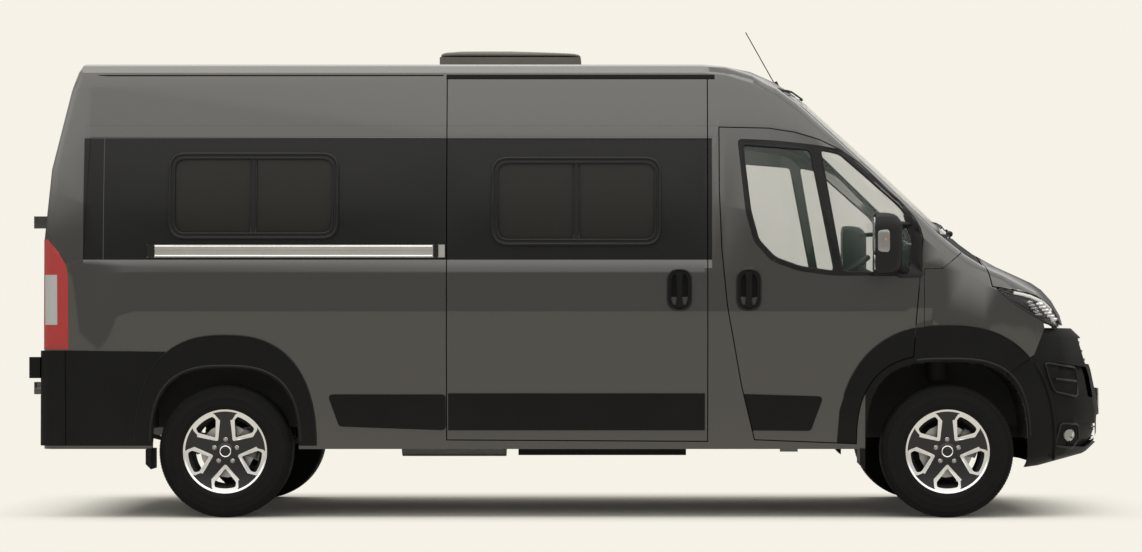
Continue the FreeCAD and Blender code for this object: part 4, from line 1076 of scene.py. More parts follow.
class Maker:
    """Turns points and faces into finished pieces that ride on the van's bodies."""

    ROW_SMOOTH = 35.0
    BEVEL_FROM = 40.0

    def __init__(self, finishes: Finishes) -> None:
        """Keeps the finishes that pieces are dressed with."""
        self.finishes = finishes
        self.row_tree = self._row_tree()
        self.count = 0

    def solid(self, name: str, mesh: Mesh, finish: str, body: str = "body", smooth: float = 50.0,
            bevel: float = 0.0) -> Object:
        """Makes a piece from a mesh of the tools above.

        Args:
            name: the piece's name.
            mesh: its points in metres and its faces.
            finish: the finish's key.
            body: the body that it rides on.
            smooth: the angle in degrees under which edges are shaded smooth.
            bevel: how wide its sharp edges are bevelled, if at all.

        Returns:
            The finished piece.
        """
        made = self.finish_mesh(name, plain_mesh(name, mesh), finish, body)
        if not bevel:
            made.data.set_sharp_from_angle(angle=math.radians(smooth))
            return made
        edge = made.modifiers.new("edges", "BEVEL")
        edge.width, edge.segments, edge.limit_method = bevel, 2, "ANGLE"
        edge.angle_limit = math.radians(self.BEVEL_FROM)
        edge.harden_normals = True
        return made

    def repeat(self, name: str, mesh: Mesh, finish: str, body: str, count: int,
            step: Sequence[float] = (0.0, 0.0, 0.0), turn: Sequence[float] = (0.0, 0.0, 0.0),
            centre: Sequence[float] = (0.0, 0.0, 0.0)) -> Object:
        """Repeats a small mesh in a row or round an axis with Geometry Nodes.

        Args:
            name: the piece's name.
            mesh: one item, placed as seen from the row's start.
            finish: the finish's key.
            body: the body that the piece rides on.
            count: how many items there are.
            step: how far each item lies from the one before it.
            turn: how far each item is turned from the one before it.
            centre: where the row starts or what it is turned about.

        Returns:
            The piece as one plain mesh.
        """
        source = placed(name + "_item", plain_mesh(name + "_item", mesh))
        rows = source.modifiers.new("row", "NODES")
        rows.node_group = self.row_tree
        values = {"Count": count, "Step": tuple(step), "Turn": tuple(turn), "Centre": tuple(centre),
            "Material": self.finishes[finish]}
        for socket in self.row_tree.interface.items_tree:
            if socket.name in values:
                rows[socket.identifier] = values[socket.name]
        result = evaluated_mesh(source)
        result.materials.clear()
        bpy.data.objects.remove(source)
        made = self.finish_mesh(name, result, finish, body)
        result.set_sharp_from_angle(angle=math.radians(self.ROW_SMOOTH))
        return made

    @staticmethod
    def _row_tree() -> Tree:
        """The node tree that repeats an item in a row or round an axis."""
        tree = geometry_tree("repeated item", {"Count": "Int", "Step": "Vector", "Turn": "Vector",
            "Centre": "Vector", "Material": "Material"})
        nodes = Nodes(tree)
        given = nodes.node("NodeGroupInput").outputs
        index = nodes.node("GeometryNodeInputIndex").outputs[0]

        def scaled(name: str) -> Socket:
            """An input vector times the item's index."""
            return nodes.node("ShaderNodeVectorMath", given[name], setting=("operation", "SCALE"),
                Scale=index).outputs[0]

        points = nodes.node("GeometryNodePoints", given["Count"], scaled("Step"))
        items = nodes.node("GeometryNodeInstanceOnPoints", Points=points.outputs[0],
            Instance=given["Geometry"], Rotation=scaled("Turn"))
        whole = nodes.node("GeometryNodeRealizeInstances", items.outputs[0])
        moved = nodes.node("GeometryNodeTransform", Geometry=whole.outputs[0], Translation=given["Centre"])
        dressed = nodes.node("GeometryNodeSetMaterial", Geometry=moved.outputs[0], Material=given["Material"])
        nodes.node("NodeGroupOutput", dressed.outputs[0])
        return tree

    def finish_mesh(self, name: str, mesh: bpy.types.Mesh, finish: str, body: str) -> Object:
        """Cleans, dresses and smooths a mesh and lets it ride.

        Args:
            name: the piece's name.
            mesh: its mesh.
            finish: the finish's key.
            body: the body that it rides on.

        Returns:
            The piece.
        """
        work = bmesh.new()
        work.from_mesh(mesh)
        bmesh.ops.remove_doubles(work, verts=work.verts, dist=1e-6)
        bmesh.ops.recalc_face_normals(work, faces=work.faces)
        work.to_mesh(mesh)
        work.free()
        mesh.materials.append(self.finishes[finish])
        for polygon in mesh.polygons:
            polygon.use_smooth = True
        made = placed(name, mesh)
        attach(made, body)
        self.count += 1
        return made


def plain_mesh(name: str, mesh: Mesh) -> bpy.types.Mesh:
    """Blender's mesh from points and faces."""
    made = bpy.data.meshes.new(name)
    made.from_pydata([tuple(v) for v in mesh[0]], [], [tuple(f) for f in mesh[1]])
    return made


def placed(name: str, data: bpy.types.ID) -> Object:
    """A new object in the scene."""
    made = bpy.data.objects.new(name, data)
    bpy.context.scene.collection.objects.link(made)
    return made


def evaluated_mesh(obj: Object) -> bpy.types.Mesh:
    """A plain copy of what an object's modifiers give."""
    return bpy.data.meshes.new_from_object(obj.evaluated_get(bpy.context.evaluated_depsgraph_get()))


def geometry_tree(name: str, inputs: dict[str, str]) -> Tree:
    """Starts a Geometry Nodes tree.

    Args:
        name: its name.
        inputs: its inputs after the geometry, and their kinds.

    Returns:
        The tree, with its sockets and no nodes.
    """
    tree = bpy.data.node_groups.new(name, "GeometryNodeTree")
    for label, kind in {"Geometry": "Geometry", **inputs}.items():
        tree.interface.new_socket(label, in_out="INPUT", socket_type="NodeSocket" + kind)
    tree.interface.new_socket("Geometry", in_out="OUTPUT", socket_type="NodeSocketGeometry")
    return tree


def angle_tree() -> Tree:
    """The node tree that shades a mesh smooth with its sharper edges kept."""
    tree = geometry_tree("shade by angle", {"Angle": "Float"})
    nodes = Nodes(tree)
    given = nodes.node("NodeGroupInput").outputs
    faces = nodes.node("GeometryNodeSetShadeSmooth", given[0])
    edge = nodes.node("GeometryNodeInputMeshEdgeAngle").outputs["Unsigned Angle"]
    keep = nodes.node("FunctionNodeCompare", edge, given[1], setting=("operation", "LESS_EQUAL"))
    edges = nodes.node("GeometryNodeSetShadeSmooth", faces.outputs[0], setting=("domain", "EDGE"),
        Shade_Smooth=keep.outputs[0])
    nodes.node("NodeGroupOutput", edges.outputs[0])
    return tree


def smooth_node(obj: Object, tree: Tree, degrees: float = 28.0) -> None:
    """Merges a solid's loose corners and shades it by angle, both in modifiers.

    Args:
        obj: the solid's object.
        tree: the tree that shades by angle.
        degrees: edges that turn by more stay sharp.
    """
    weld = obj.modifiers.new("weld", "WELD")
    weld.merge_threshold = 0.00005
    shade = obj.modifiers.new("shade", "NODES")
    shade.node_group = tree
    angle = next(i for i in tree.interface.items_tree if i.name == "Angle")
    shade[angle.identifier] = math.radians(degrees)


# The carried-over solids


# The solids that each finish dresses, with * for left and right
DRESSED = {
    "paint": "side_panels roof_panel wings bonnet sliding_door rear_hinges door_* rear_door_*",
    "underseal": "floor_pan front_subframe rear_axle fuel_tank",
    "plastic": "sliding_door_trim body_trims mud_flaps cowl front_bumper rear_bumper door_trim_* mirror_*",
    "smooth_plastic": "window_frames antenna wipers",
    "white_plastic": "vent_frame vent_lid",
    "gloss_black": "grille",
    "glass": "windscreen door_glass_*",
    "rear_glass": "rear_glass_*",
    "window": "side_windows",
    "lens": "headlamps",
    "tail": "tail_lamps",
    "silver": "door_rail",
    "cabin": "dashboard steering_wheel",
    "cloth": "seats",
    "cast": "engine_block knuckle_*",
    "steel": "exhaust hub_front_* hub_rear_*",
    "tyre": "tyre_front_* tyre_rear_*",
    "alloy": "rim_front_* rim_rear_*",
}


@dataclass
class CarriedNodes:
    """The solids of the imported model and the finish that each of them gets."""

    groups: dict[str, str] = field(default_factory=lambda: DRESSED)

    def dress(self, nodes: dict[str, Object], finishes: Finishes) -> None:
        """Gives every node its finish and smooth shading.

        Args:
            nodes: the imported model's nodes.
            finishes: the materials.
        """
        table = {}
        for key, names in self.groups.items():
            for name in names.split():
                table.update({name.replace("*", side.word): key for side in Side})
        tree = angle_tree()
        for name, obj in nodes.items():
            obj.data.materials.clear()
            obj.data.materials.append(finishes[table[name]])
            smooth_node(obj, tree)
        LOG.info("dressed %d nodes", len(nodes))


# Wheels


def round_wheel(point: Sequence[float], centre: Vector, side: int, turn: float = 0.0) -> Vector:
    """A place on a wheel's face from (x, z, outward), turned about the axle."""
    x, z, out = point
    c, s = math.cos(turn), math.sin(turn)
    return centre + Vector((x * c - z * s, side * out, x * s + z * c))


def sector(radius: float, half: int, step: int = 3) -> Path:
    """Places on a circle round +X, every few degrees up to half its angle to each side."""
    turns = [math.radians(degrees) for degrees in range(-half, half + 1, step)]
    return [(radius * math.cos(turn), radius * math.sin(turn)) for turn in turns]


@dataclass
class Wheel:
    """A tyre with its tread, and a black rim whose five windows have bright borders."""

    name: str
    body: str
    axle_x: float
    track_half: float
    side: Side
    dish_middle: float = 0.078
    dish_rise: float = 0.017
    dish_radius: float = 0.226
    spoke_drop: float = 0.0035
    rim_depth: float = 0.024
    spokes: int = 5
    lugs: int = 130
    carrier: str = "body"

    @property
    def centre(self) -> Vector:
        """The middle of the wheel."""
        return Vector((self.axle_x, self.side * self.track_half, TYRE_RADIUS))

    def dish(self, x: float, z: float, lift: float = 0.0) -> float:
        """How far outward the rim's face lies at a place."""
        share = (x * x + z * z) / self.dish_radius ** 2
        return self.dish_middle + self.dish_rise * share + lift

    def window(self) -> Path:
        """The outline of a window whose middle points along +X."""
        return rounded([(0.095, 0.0), (0.174, -0.062), (0.198, -0.058), *sector(0.207, 12), (0.198, 0.058),
            (0.174, 0.062)], 0.009, 4)

    def border(self) -> Path:
        """The outer outline of a window's bright border."""
        first = rounded([(0.07, 0.0), (0.163, -0.084)], 0.01, 4)[3:]
        last = rounded([(0.163, 0.084), (0.07, 0.0), (0.163, -0.084)], 0.012, 4)[:10]
        return first + [(0.2, -0.0745)] + sector(0.2235, 18) + [(0.2, 0.0745)] + last

    def plate(self, outline: Outline, holes: Sequence[Outline], top: float, bottom: float, step: float =
            0.014, turn: float = 0.0) -> Mesh:
        """A closed plate that follows the dish between two depths.

        Args:
            outline: its outer outline.
            holes: its openings.
            top: how far its face lies outside the dish.
            bottom: the same of its back.
            step: how far apart its inner points lie.
            turn: how far it is turned about the axle.

        Returns:
            The plate's mesh.
        """
        def level(lift: float) -> Callable[[float, float], Vector]:
            """The dish, moved outward, as a surface."""
            return lambda x, z: round_wheel((x, z, self.dish(x, z, lift)), self.centre, self.side, turn)

        return closed_sheet(outline, holes, step, level(top), level(bottom))

    def build(self, maker: Maker) -> None:
        """Makes the wheel's pieces.

        Args:
            maker: turns meshes into pieces.
        """
        self.tyre(maker)
        self.rim(maker)
        self.hub(maker)
        self.caliper(maker)

    def caliper(self, maker: Maker) -> None:
        """The brake caliper that grips the disc and stays put as the wheel turns.

        Args:
            maker: turns meshes into pieces.
        """
        section = ((0.1, 0.009), (0.104, 0.026), (0.124, 0.036), (0.16, 0.036), (0.176, 0.026), (0.178,
            -0.045), (0.16, -0.054), (0.1, -0.05), (0.1, -0.033), (0.158, -0.033), (0.158, 0.009))
        rings = []
        for degrees in range(-14, 51, 4):
            turn = math.radians(degrees)
            narrow = 0.012 * (abs(degrees - 18) / 32) ** 3
            rings.append([self.centre + Vector(((r - narrow) * math.cos(turn), self.side * out, (r -
                narrow) * math.sin(turn))) for r, out in section])
        pistons = [lathe([(0.0, 0.0415), (0.013, 0.041), (0.017, 0.0385), (0.018, 0.034)], self.centre +
            Vector((0.138 * math.cos(turn), 0.0, 0.138 * math.sin(turn))), self.side, 24) for turn in
            (math.radians(6), math.radians(30))]
        maker.solid("brake_caliper_" + self.name, joined([loft(rings, caps=True), *pistons]), "cast",
            self.carrier, smooth=40.0)

    def tyre(self, maker: Maker) -> None:
        """The tyre with four grooves and a ring of lugs on each shoulder.

        Args:
            maker: turns meshes into pieces.
        """
        wall = [(0.208, 0.086), (0.224, 0.0915), (0.2335, 0.0965), (0.24, 0.1005), (0.252, 0.1052),
            (0.259, 0.1075), (0.2605, 0.1087), (0.2635, 0.1088), (0.265, 0.1082), (0.282, 0.11),
            (0.2975, 0.1101), (0.299, 0.1111), (0.302, 0.111), (0.3035, 0.1099), (0.318, 0.1088),
            (0.3325, 0.1062), (0.334, 0.1069), (0.337, 0.106), (0.338, 0.1045), (0.346, 0.1005), (0.352,
            0.0965), (0.3585, 0.0905), (0.3635, 0.083), (0.3665, 0.074)]
        tread = [(0.369, 0.0655), (0.3625, 0.064), (0.3625, 0.058), (0.3708, 0.0565), (0.3716, 0.027),
            (0.364, 0.0255), (0.364, 0.0185), (0.3718, 0.017), (0.372, 0.0)]
        half = wall + tread
        profile = half + [(r, -o) for r, o in reversed(half[:-1])]
        piece = maker.solid("tyre_" + self.name, lathe(profile, self.centre, self.side, 144), "tyre",
            self.body, smooth=32.0)
        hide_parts("tyre_" + self.name)
        outer = [(0.344, 0.1042), (0.352, 0.101), (0.359, 0.0955), (0.3648, 0.088), (0.369, 0.079),
            (0.3712, 0.068), (0.3714, 0.066)]
        section = outer + [(r - 0.006, o - 0.004) for r, o in reversed(outer)]
        for end in (1, -1):
            rings = []
            for turn in (math.radians(-1.02), math.radians(1.02)):
                rings.append([Vector((r * math.cos(turn + 0.012 * k), self.side * end * o, r *
                    math.sin(turn + 0.012 * k))) for r, o in section for k in ((r - 0.344) / 0.027,)])
            maker.repeat(f"tyre_lugs_{self.name}_{'outer' if end > 0 else 'inner'}", loft(rings, caps=True),
                "tyre", self.body, self.lugs, turn=(0.0, math.tau / self.lugs, 0.0), centre=self.centre)

    def rim(self, maker: Maker) -> None:
        """The black spoked face, the bright borders and lip, and the barrel behind them.

        Args:
            maker: turns meshes into pieces.
        """
        turns = [math.radians(54 + 72 * index) for index in range(self.spokes)]
        window = self.window()
        holes = [[(x * math.cos(t) - z * math.sin(t), x * math.sin(t) + z * math.cos(t)) for x, z in
            window] for t in turns]
        face = maker.solid("rim_" + self.name, self.plate(circle(0.2245, 120), holes, -self.spoke_drop,
            -self.rim_depth), "alloy", self.body, bevel=0.0018)
        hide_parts("rim_" + self.name)
        maker.solid("rim_borders_" + self.name, joined(self.plate(self.border(), [window], 0.0, -0.006,
            0.02, turn) for turn in turns), "machined", self.body, bevel=0.0012)
        lip = [(0.2225, 0.086), (0.2225, 0.0925), (0.224, 0.0945), (0.227, 0.0955), (0.229, 0.0968),
            (0.232, 0.0985), (0.2345, 0.0985), (0.2362, 0.0965), (0.2362, 0.0915), (0.233, 0.088)]
        maker.solid("rim_lip_" + self.name, lathe(lip, self.centre, self.side, 128, closed=True),
            "machined", self.body, smooth=40.0)
        barrel = [(0.2, -0.099), (0.1895, -0.099), (0.186, -0.06), (0.186, 0.03), (0.196, 0.058), (0.212,
            0.074), (0.223, 0.08), (0.223, 0.09), (0.215, 0.088), (0.204, 0.07), (0.2, 0.04)]
        maker.solid("rim_barrel_" + self.name, lathe(barrel, self.centre, self.side, 96, closed=True),
            "dull_alloy", self.body, smooth=30.0)

    def hub(self, maker: Maker) -> None:
        """The plain centre cap and the wheel bolts.

        Args:
            maker: turns meshes into pieces.
        """
        cap = [(0.0, 0.0835), (0.017, 0.0835), (0.0188, 0.083), (0.0195, 0.0805), (0.0262, 0.0805),
            (0.0268, 0.0832), (0.0295, 0.0842), (0.0325, 0.0835), (0.0332, 0.08), (0.0345, 0.0792),
            (0.044, 0.0788), (0.0475, 0.0775), (0.0495, 0.074), (0.0495, 0.06)]
        maker.solid("wheel_cap_" + self.name, lathe(cap, self.centre, self.side, 64), "alloy", self.body,
            smooth=30.0)
        ring = [(0.027, 0.0835), (0.0295, 0.0848), (0.0322, 0.0836), (0.0295, 0.0815)]
        maker.solid("wheel_cap_ring_" + self.name, lathe(ring, self.centre, self.side, 64, closed=True),
            "machined", self.body, smooth=35.0)
        start = math.radians(18.0)
        seat = Vector((0.066 * math.cos(start), 0.0, 0.066 * math.sin(start)))
        washer = [(0.012, 0.0735), (0.012, 0.0765), (0.0108, 0.0775), (0.0096, 0.0765), (0.0096, 0.0735)]
        head = [(0.0, 0.0815), (0.0062, 0.0815), (0.008, 0.08), (0.0086, 0.078), (0.0086, 0.073)]
        for word, profile, count, finish, shut in (("seats", washer, 32, "machined", True), ("bolts",
                head, 6, "steel", False)):
            maker.repeat(f"wheel_{word}_{self.name}", lathe(profile, seat, self.side, count, closed=shut),
                finish, self.body, self.spokes, turn=(0.0, math.tau / self.spokes, 0.0), centre=self.centre)


# Glass, seals and trims


@dataclass
class CabGlass:
    """The black surrounds and seals of the front doors' glass and the windscreen's border."""

    main: Outline = ((0.938, 2.092), (1.322, 2.061), (1.456, 1.374), (1.261, 1.402), (1.121, 1.453),
        (1.027, 1.553), (0.982, 1.721))
    quarter: Outline = ((1.373, 2.061), (1.484, 2.04), (1.819, 1.748), (1.931, 1.581), (1.931, 1.363),
        (1.495, 1.374))
    surround: Outline = ((0.913, 2.122), (1.12, 2.112), (1.357, 2.086), (1.497, 2.06), (1.66, 1.915),
        (1.836, 1.762), (1.938, 1.612), (1.938, 1.35), (1.7, 1.352), (1.44, 1.354), (1.252, 1.38),
        (1.102, 1.434), (1.004, 1.542), (0.957, 1.715))
    screen: Outline = ((-0.89, 1.585), (0.89, 1.585), (0.776, 2.41), (-0.776, 2.41))
    screen_view: Outline = ((-0.835, 1.68), (0.835, 1.68), (0.73, 2.365), (-0.73, 2.365))
    seal_width: float = 0.015
    seal_height: float = 0.014

    def build(self, maker: Maker, skin: Skin, screen: Skin) -> None:
        """Makes the surrounds, the seals and the windscreen's border.

        Args:
            maker: turns meshes into pieces.
            skin: the painted outside.
            screen: the windscreen.
        """
        for side in Side:
            body = "front_door_" + side.word
            panes = [rounded(self.main, 0.03), rounded(self.quarter, 0.025)]
            maker.solid("door_glass_surround_" + side.word, skin.laid(side, rounded(self.surround, 0.03),
                panes, 0.04, 0.0022, 0.006), "satin_black", body, bevel=0.001)
            maker.solid("door_glass_seals_" + side.word, joined(skin.bead(side, pane, self.seal_width,
                self.seal_height, -0.003) for pane in panes), "rubber_seal", body)
        outer, inner = rounded(self.screen, 0.06), rounded(self.screen_view, 0.1)
        maker.solid("windscreen_border", screen.faced(1, outer, [inner], 0.06, 0.0012, 0.0018),
            "gloss_black")
        maker.solid("windscreen_seal", tube(screen.across(1, outer, 0.001), 0.016, 0.01, (1.0, 0.0, 0.6),
            True, 8), "rubber_seal")


@dataclass
class LivingWindows:
    """The rounded beads of the living windows' frames and dividers."""

    rear: tuple[float, ...] = (-2.268, -1.315, 1.556, 2.044)
    door: tuple[float, ...] = (-0.464, 0.488, 1.521, 2.02)
    corner: float = 0.096

    def build(self, maker: Maker, skin: Skin) -> None:
        """Makes two beads round each frame and one along its divider.

        Args:
            maker: turns meshes into pieces.
            skin: the painted outside.
        """
        for name, box, sides in (("rear_window", self.rear, tuple(Side)), ("door_window", self.door,
                (Side.RIGHT,))):
            for side in sides:
                middle = (box[0] + box[1]) / 2
                beads = [skin.bead(side, rounded(rectangle(*box, inset), self.corner - inset, 9), width,
                    height, lift) for inset, width, height, lift in ((0.009, 0.017, 0.012, 0.001), (0.033,
                    0.013, 0.012, -0.001))]
                beads += [skin.bead(side, ((middle + dx, box[2] + 0.036), (middle + dx, box[3] - 0.036)),
                    0.01, 0.007, 0.0, closed=False) for dx in (-0.014, 0.014)]
                maker.solid(f"{name}_beads_{side.word}", joined(beads), "smooth_plastic")


@dataclass
class ArchTrims:
    """The liners inside the front arches and the beads along the arch trims' edges."""

    front: tuple[float, ...] = (FRONT_AXLE_X, 0.62, 1.08, 2.4)
    rear: tuple[float, ...] = (REAR_AXLE_X, 0.512, 1.024, 2.5)
    front_opening: tuple[float, ...] = (FRONT_AXLE_X, 0.46, 0.88, 3.0)
    rear_opening: tuple[float, ...] = (REAR_AXLE_X, 0.412, 0.84, 2.8)

    def build(self, maker: Maker, skin: Skin) -> None:
        """Makes liners, ribs and beads on both sides.

        Args:
            maker: turns meshes into pieces.
            skin: the outside with its black trims.
        """
        for side in Side:
            parts = (("rear_arch", self.rear, self.rear_opening, "body", 2, 178), ("wing_arch",
                self.front, self.front_opening, "body", 42, 99), ("door_arch", self.front,
                self.front_opening, "front_door_" + side.word, 108, 158))
            for name, outer, inner, body, start, end in parts:
                edges = [skin.bead(side, arch(outer[0], outer[1] - 0.004, outer[2] - 0.004, outer[3],
                    start, end), 0.007, 0.006, -0.0005, closed=False, sides=6)]
                if name != "door_arch":
                    begin, stop = (3, 177) if name == "rear_arch" else (4, 103)
                    edges.append(skin.bead(side, arch(inner[0], inner[1] + 0.01, inner[2] + 0.01,
                        inner[3], begin, stop), 0.014, 0.01, -0.001, closed=False))
                maker.solid(f"{name}_beads_{side.word}", joined(edges), "smooth_plastic", body)
            crease = skin.bead(side, arch(self.front[0], self.front[1], self.front[2], self.front[3], -6,
                40), 0.018, 0.012, -0.001, closed=False)
            maker.solid("bumper_crease_" + side.word, crease, "plastic")
            self.liner(maker, side)

    def liner(self, maker: Maker, side: Side) -> None:
        """The ribbed liner over a front wheel, with the wall behind the wheel.

        Args:
            maker: turns meshes into pieces.
            side: the van's side.
        """
        shell = [arch(FRONT_AXLE_X, 0.46 - shrink, 0.88 - shrink, 3.0, 3, 176, 36) for shrink in (0.004,
            0.008)]
        rings = [[Vector((x, side * out, z)) for x, z in shell[0]] + [Vector((x, side * out, z)) for x, z
            in reversed(shell[1])] for out in (0.955, 0.9, 0.8, 0.7, 0.562)]
        ribs = []
        for x, z in shell[1][2:-2:2]:
            toward = Vector((FRONT_AXLE_X - x, 0.0, 0.45 - z)).normalized()
            place = Vector((x, 0.0, z)) + toward * 0.002
            ribs.append(tube([place + Vector((0, side * out, 0)) for out in (0.58, 0.94)], 0.01, 0.01,
                tuple(toward)))
        wall = [(x, z) for x, z in shell[0] if z > 0.5]
        low = [(wall[-1][0], 0.5), (wall[0][0], 0.5)]
        wall_mesh = closed_sheet(wall + low, [], 0.2, lambda x, z: Vector((x, side * 0.564, z)), lambda x,
            z: Vector((x, side * 0.558, z)))
        tower = tube([Vector((FRONT_AXLE_X - 0.02, side * 0.64, z)) for z in (0.762, 0.868)], 0.12,
            0.12, (0.0, 1.0, 0.0), sides=24)
        maker.solid("front_arch_liner_" + side.word, joined([loft(rings, caps=True), *ribs, wall_mesh,
            tower]), "underseal", smooth=40.0)


@dataclass
class DoorHandles:
    """The grips, rims and key covers over the oval handle recesses."""

    places: tuple[tuple[float, str], ...] = ((0.975, "front_door"), (0.588, "sliding_door"))
    height: float = 1.275
    half_width: float = 0.068
    half_height: float = 0.115

    def build(self, maker: Maker, skin: Skin) -> None:
        """Makes a handle on each front door and one on the sliding door.

        Args:
            maker: turns meshes into pieces.
            skin: the painted outside.
        """
        for x, kind in self.places:
            for side in Side:
                if kind == "sliding_door" and side is Side.LEFT:
                    continue
                body = "body" if kind == "sliding_door" else "front_door_" + side.word
                face = side * (HALF_WIDTH + 0.0118)
                oval = rounded(rectangle(x - self.half_width, x + self.half_width, self.height -
                    self.half_height, self.height + self.half_height, 0.003), 0.062, 10)
                rim = tube([Vector((a, face, b)) for a, b in oval], 0.009, 0.007, (0.0, float(side), 0.0),
                    True, 8)
                grip = []
                for step in range(17):
                    share = step / 8 - 1
                    half = 0.015 + 0.011 * abs(share) ** 3
                    rise = 0.0135 - 0.0115 * abs(share) ** 4
                    z = self.height + share * (self.half_height - 0.012)
                    grip.append([Vector((x + half * c, side * (HALF_WIDTH + rise + 0.0085 * s), z))
                        for c, s in circle(1.0, 14)])
                key = lathe([(0.0, 0.0048), (0.0085, 0.0045), (0.0115, 0.003), (0.012, -0.004)],
                    Vector((x, side * (HALF_WIDTH + 0.02), self.height - 0.082)), side, 24)
                maker.solid(f"{kind}_handle_{side.word}", joined([rim, loft(grip, caps=True), key]),
                    "smooth_plastic", body)


@dataclass
class Mirrors:
    """Tall door mirrors on two arms, with two glasses and a clear turn lamp."""

    stations: tuple[Span, ...] = ((1.6585, 0.014), (1.66, 0.007), (1.667, 0.002), (1.685, 0.0), (1.73,
        0.001), (1.765, 0.006), (1.79, 0.018), (1.805, 0.034), (1.812, 0.055))
    inner: float = 1.085
    outer: float = 1.2585
    low: float = 1.354
    high: float = 1.7
    plinth: Outline = ((1.8, 1.34), (1.944, 1.345), (1.944, 1.56), (1.908, 1.646), (1.852, 1.716),
        (1.838, 1.69), (1.884, 1.56), (1.874, 1.4), (1.8, 1.39))

    def build(self, maker: Maker, skin: Skin) -> None:
        """Makes both mirrors in the place of their plain solids.

        Args:
            maker: turns meshes into pieces.
            skin: the painted outside.
        """
        for side in Side:
            body = "front_door_" + side.word
            rings = []
            for x, shrink in self.stations:
                half_y = (self.outer - self.inner) / 2 - shrink
                half_z = (self.high - self.low) / 2 - shrink * 1.3
                rings.append([Vector((x, side * ((self.outer + self.inner) / 2 + half_y * a),
                    (self.high + self.low) / 2 + half_z * b)) for a, b in soft_square(48, 0.45)])
            low_arm = tube([Vector((1.762, side * 1.11, 1.435)), Vector((1.8, side * 1.06, 1.405)),
                Vector((1.845, side * 1.005, 1.38))], 0.062, 0.042, (0, 0, 1), sides=16)
            high_arm = tube([Vector((1.772, side * 1.11, 1.64)), Vector((1.83, side * 1.04, 1.642)),
                Vector((1.878, side * 0.975, 1.642))], 0.04, 0.028, (0, 0, 1), sides=16)
            base = skin.laid(side, rounded(self.plinth, 0.02), [], 0.03, 0.01, 0.012)
            head = maker.solid("mirror_" + side.word, joined([loft(rings, caps=True), low_arm, high_arm,
                base]), "smooth_plastic", body, smooth=42.0)
            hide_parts("mirror_" + side.word)
            glasses = [block((1.6562, side * 1.243, z0), (1.66, side * 1.101, z1), 7.0) for z0, z1 in
                ((1.48, 1.676), (1.378, 1.468))]
            maker.solid("mirror_glasses_" + side.word, joined(glasses), "mirror", body, smooth=40.0)
            lamp = block((1.672, side * 1.244, 1.476), (1.74, side * 1.2595, 1.606), 5.0)
            maker.solid("mirror_lamp_" + side.word, lamp, "frosted", body)
            spot = block((1.708, side * 1.25, 1.54), (1.726, side * 1.2599, 1.558), 3.0)
            maker.solid("mirror_lamp_bulb_" + side.word, spot, "amber", body)


@dataclass
class Headlamps:
    """Dark housing, bright strip and faceted lights behind each headlamp's clear lens."""

    top: Outline = ((2.358, 1.287), (2.45, 1.285), (2.56, 1.268), (2.65, 1.232), (2.73, 1.172),
        (2.78, 1.122), (2.816, 1.078))
    low: Outline = ((2.743, 1.061), (2.636, 1.095), (2.517, 1.157), (2.432, 1.213))

    def build(self, maker: Maker, lamp: Skin) -> None:
        """Makes what shows inside both clear lenses.

        Args:
            maker: turns meshes into pieces.
            lamp: the lenses' outside.
        """
        outline = list(self.top) + list(self.low)
        for side in Side:
            middle = (2.6, 1.17)
            inset = [(x + (middle[0] - x) * 0.05, z + (middle[1] - z) * 0.09) for x, z in outline]
            maker.solid("headlamp_housing_" + side.word, lamp.laid(side, inset, [], 0.025, -0.04, 0.006),
                "smooth_plastic", smooth=30.0)
            rim = lamp.bead(side, inset, 0.022, 0.012, -0.016, sides=6)
            maker.solid("headlamp_rim_" + side.word, rim, "smooth_plastic", smooth=40.0)
            strip = [(x + dx, z - 0.024) for (x, z), dx in zip(self.top[1:-1], (0.012, 0.0, -0.006,
                -0.012, -0.016))]
            maker.solid("headlamp_strip_" + side.word, lamp.bead(side, strip, 0.017, 0.01, -0.008,
                closed=False), "lamp_white")
            facets = []
            for x0, z0, x1, z1, count, size in ((2.545, 1.215, 2.61, 1.128, 5, 0.021), (2.605, 1.205,
                    2.705, 1.102, 6, 0.025)):
                for step in range(count):
                    share = (step + 0.5) / count
                    x, z = x0 + (x1 - x0) * share, z0 + (z1 - z0) * share
                    corner = lamp.at(x, z, side, -0.024)
                    facets.append(block(corner - Vector((size, 0.012, size * 0.36)), corner +
                        Vector((size, 0.012, size * 0.36)), 4.0, 5, 16))
            maker.solid("headlamp_lights_" + side.word, joined(facets), "chrome", smooth=40.0)
            front = [(2.716, 1.15), (2.776, 1.106), (2.8, 1.082), (2.742, 1.07), (2.7, 1.088)]
            maker.solid("headlamp_front_" + side.word, lamp.laid(side, rounded(front, 0.015), [], 0.02,
                -0.012, 0.006), "frosted", smooth=40.0)


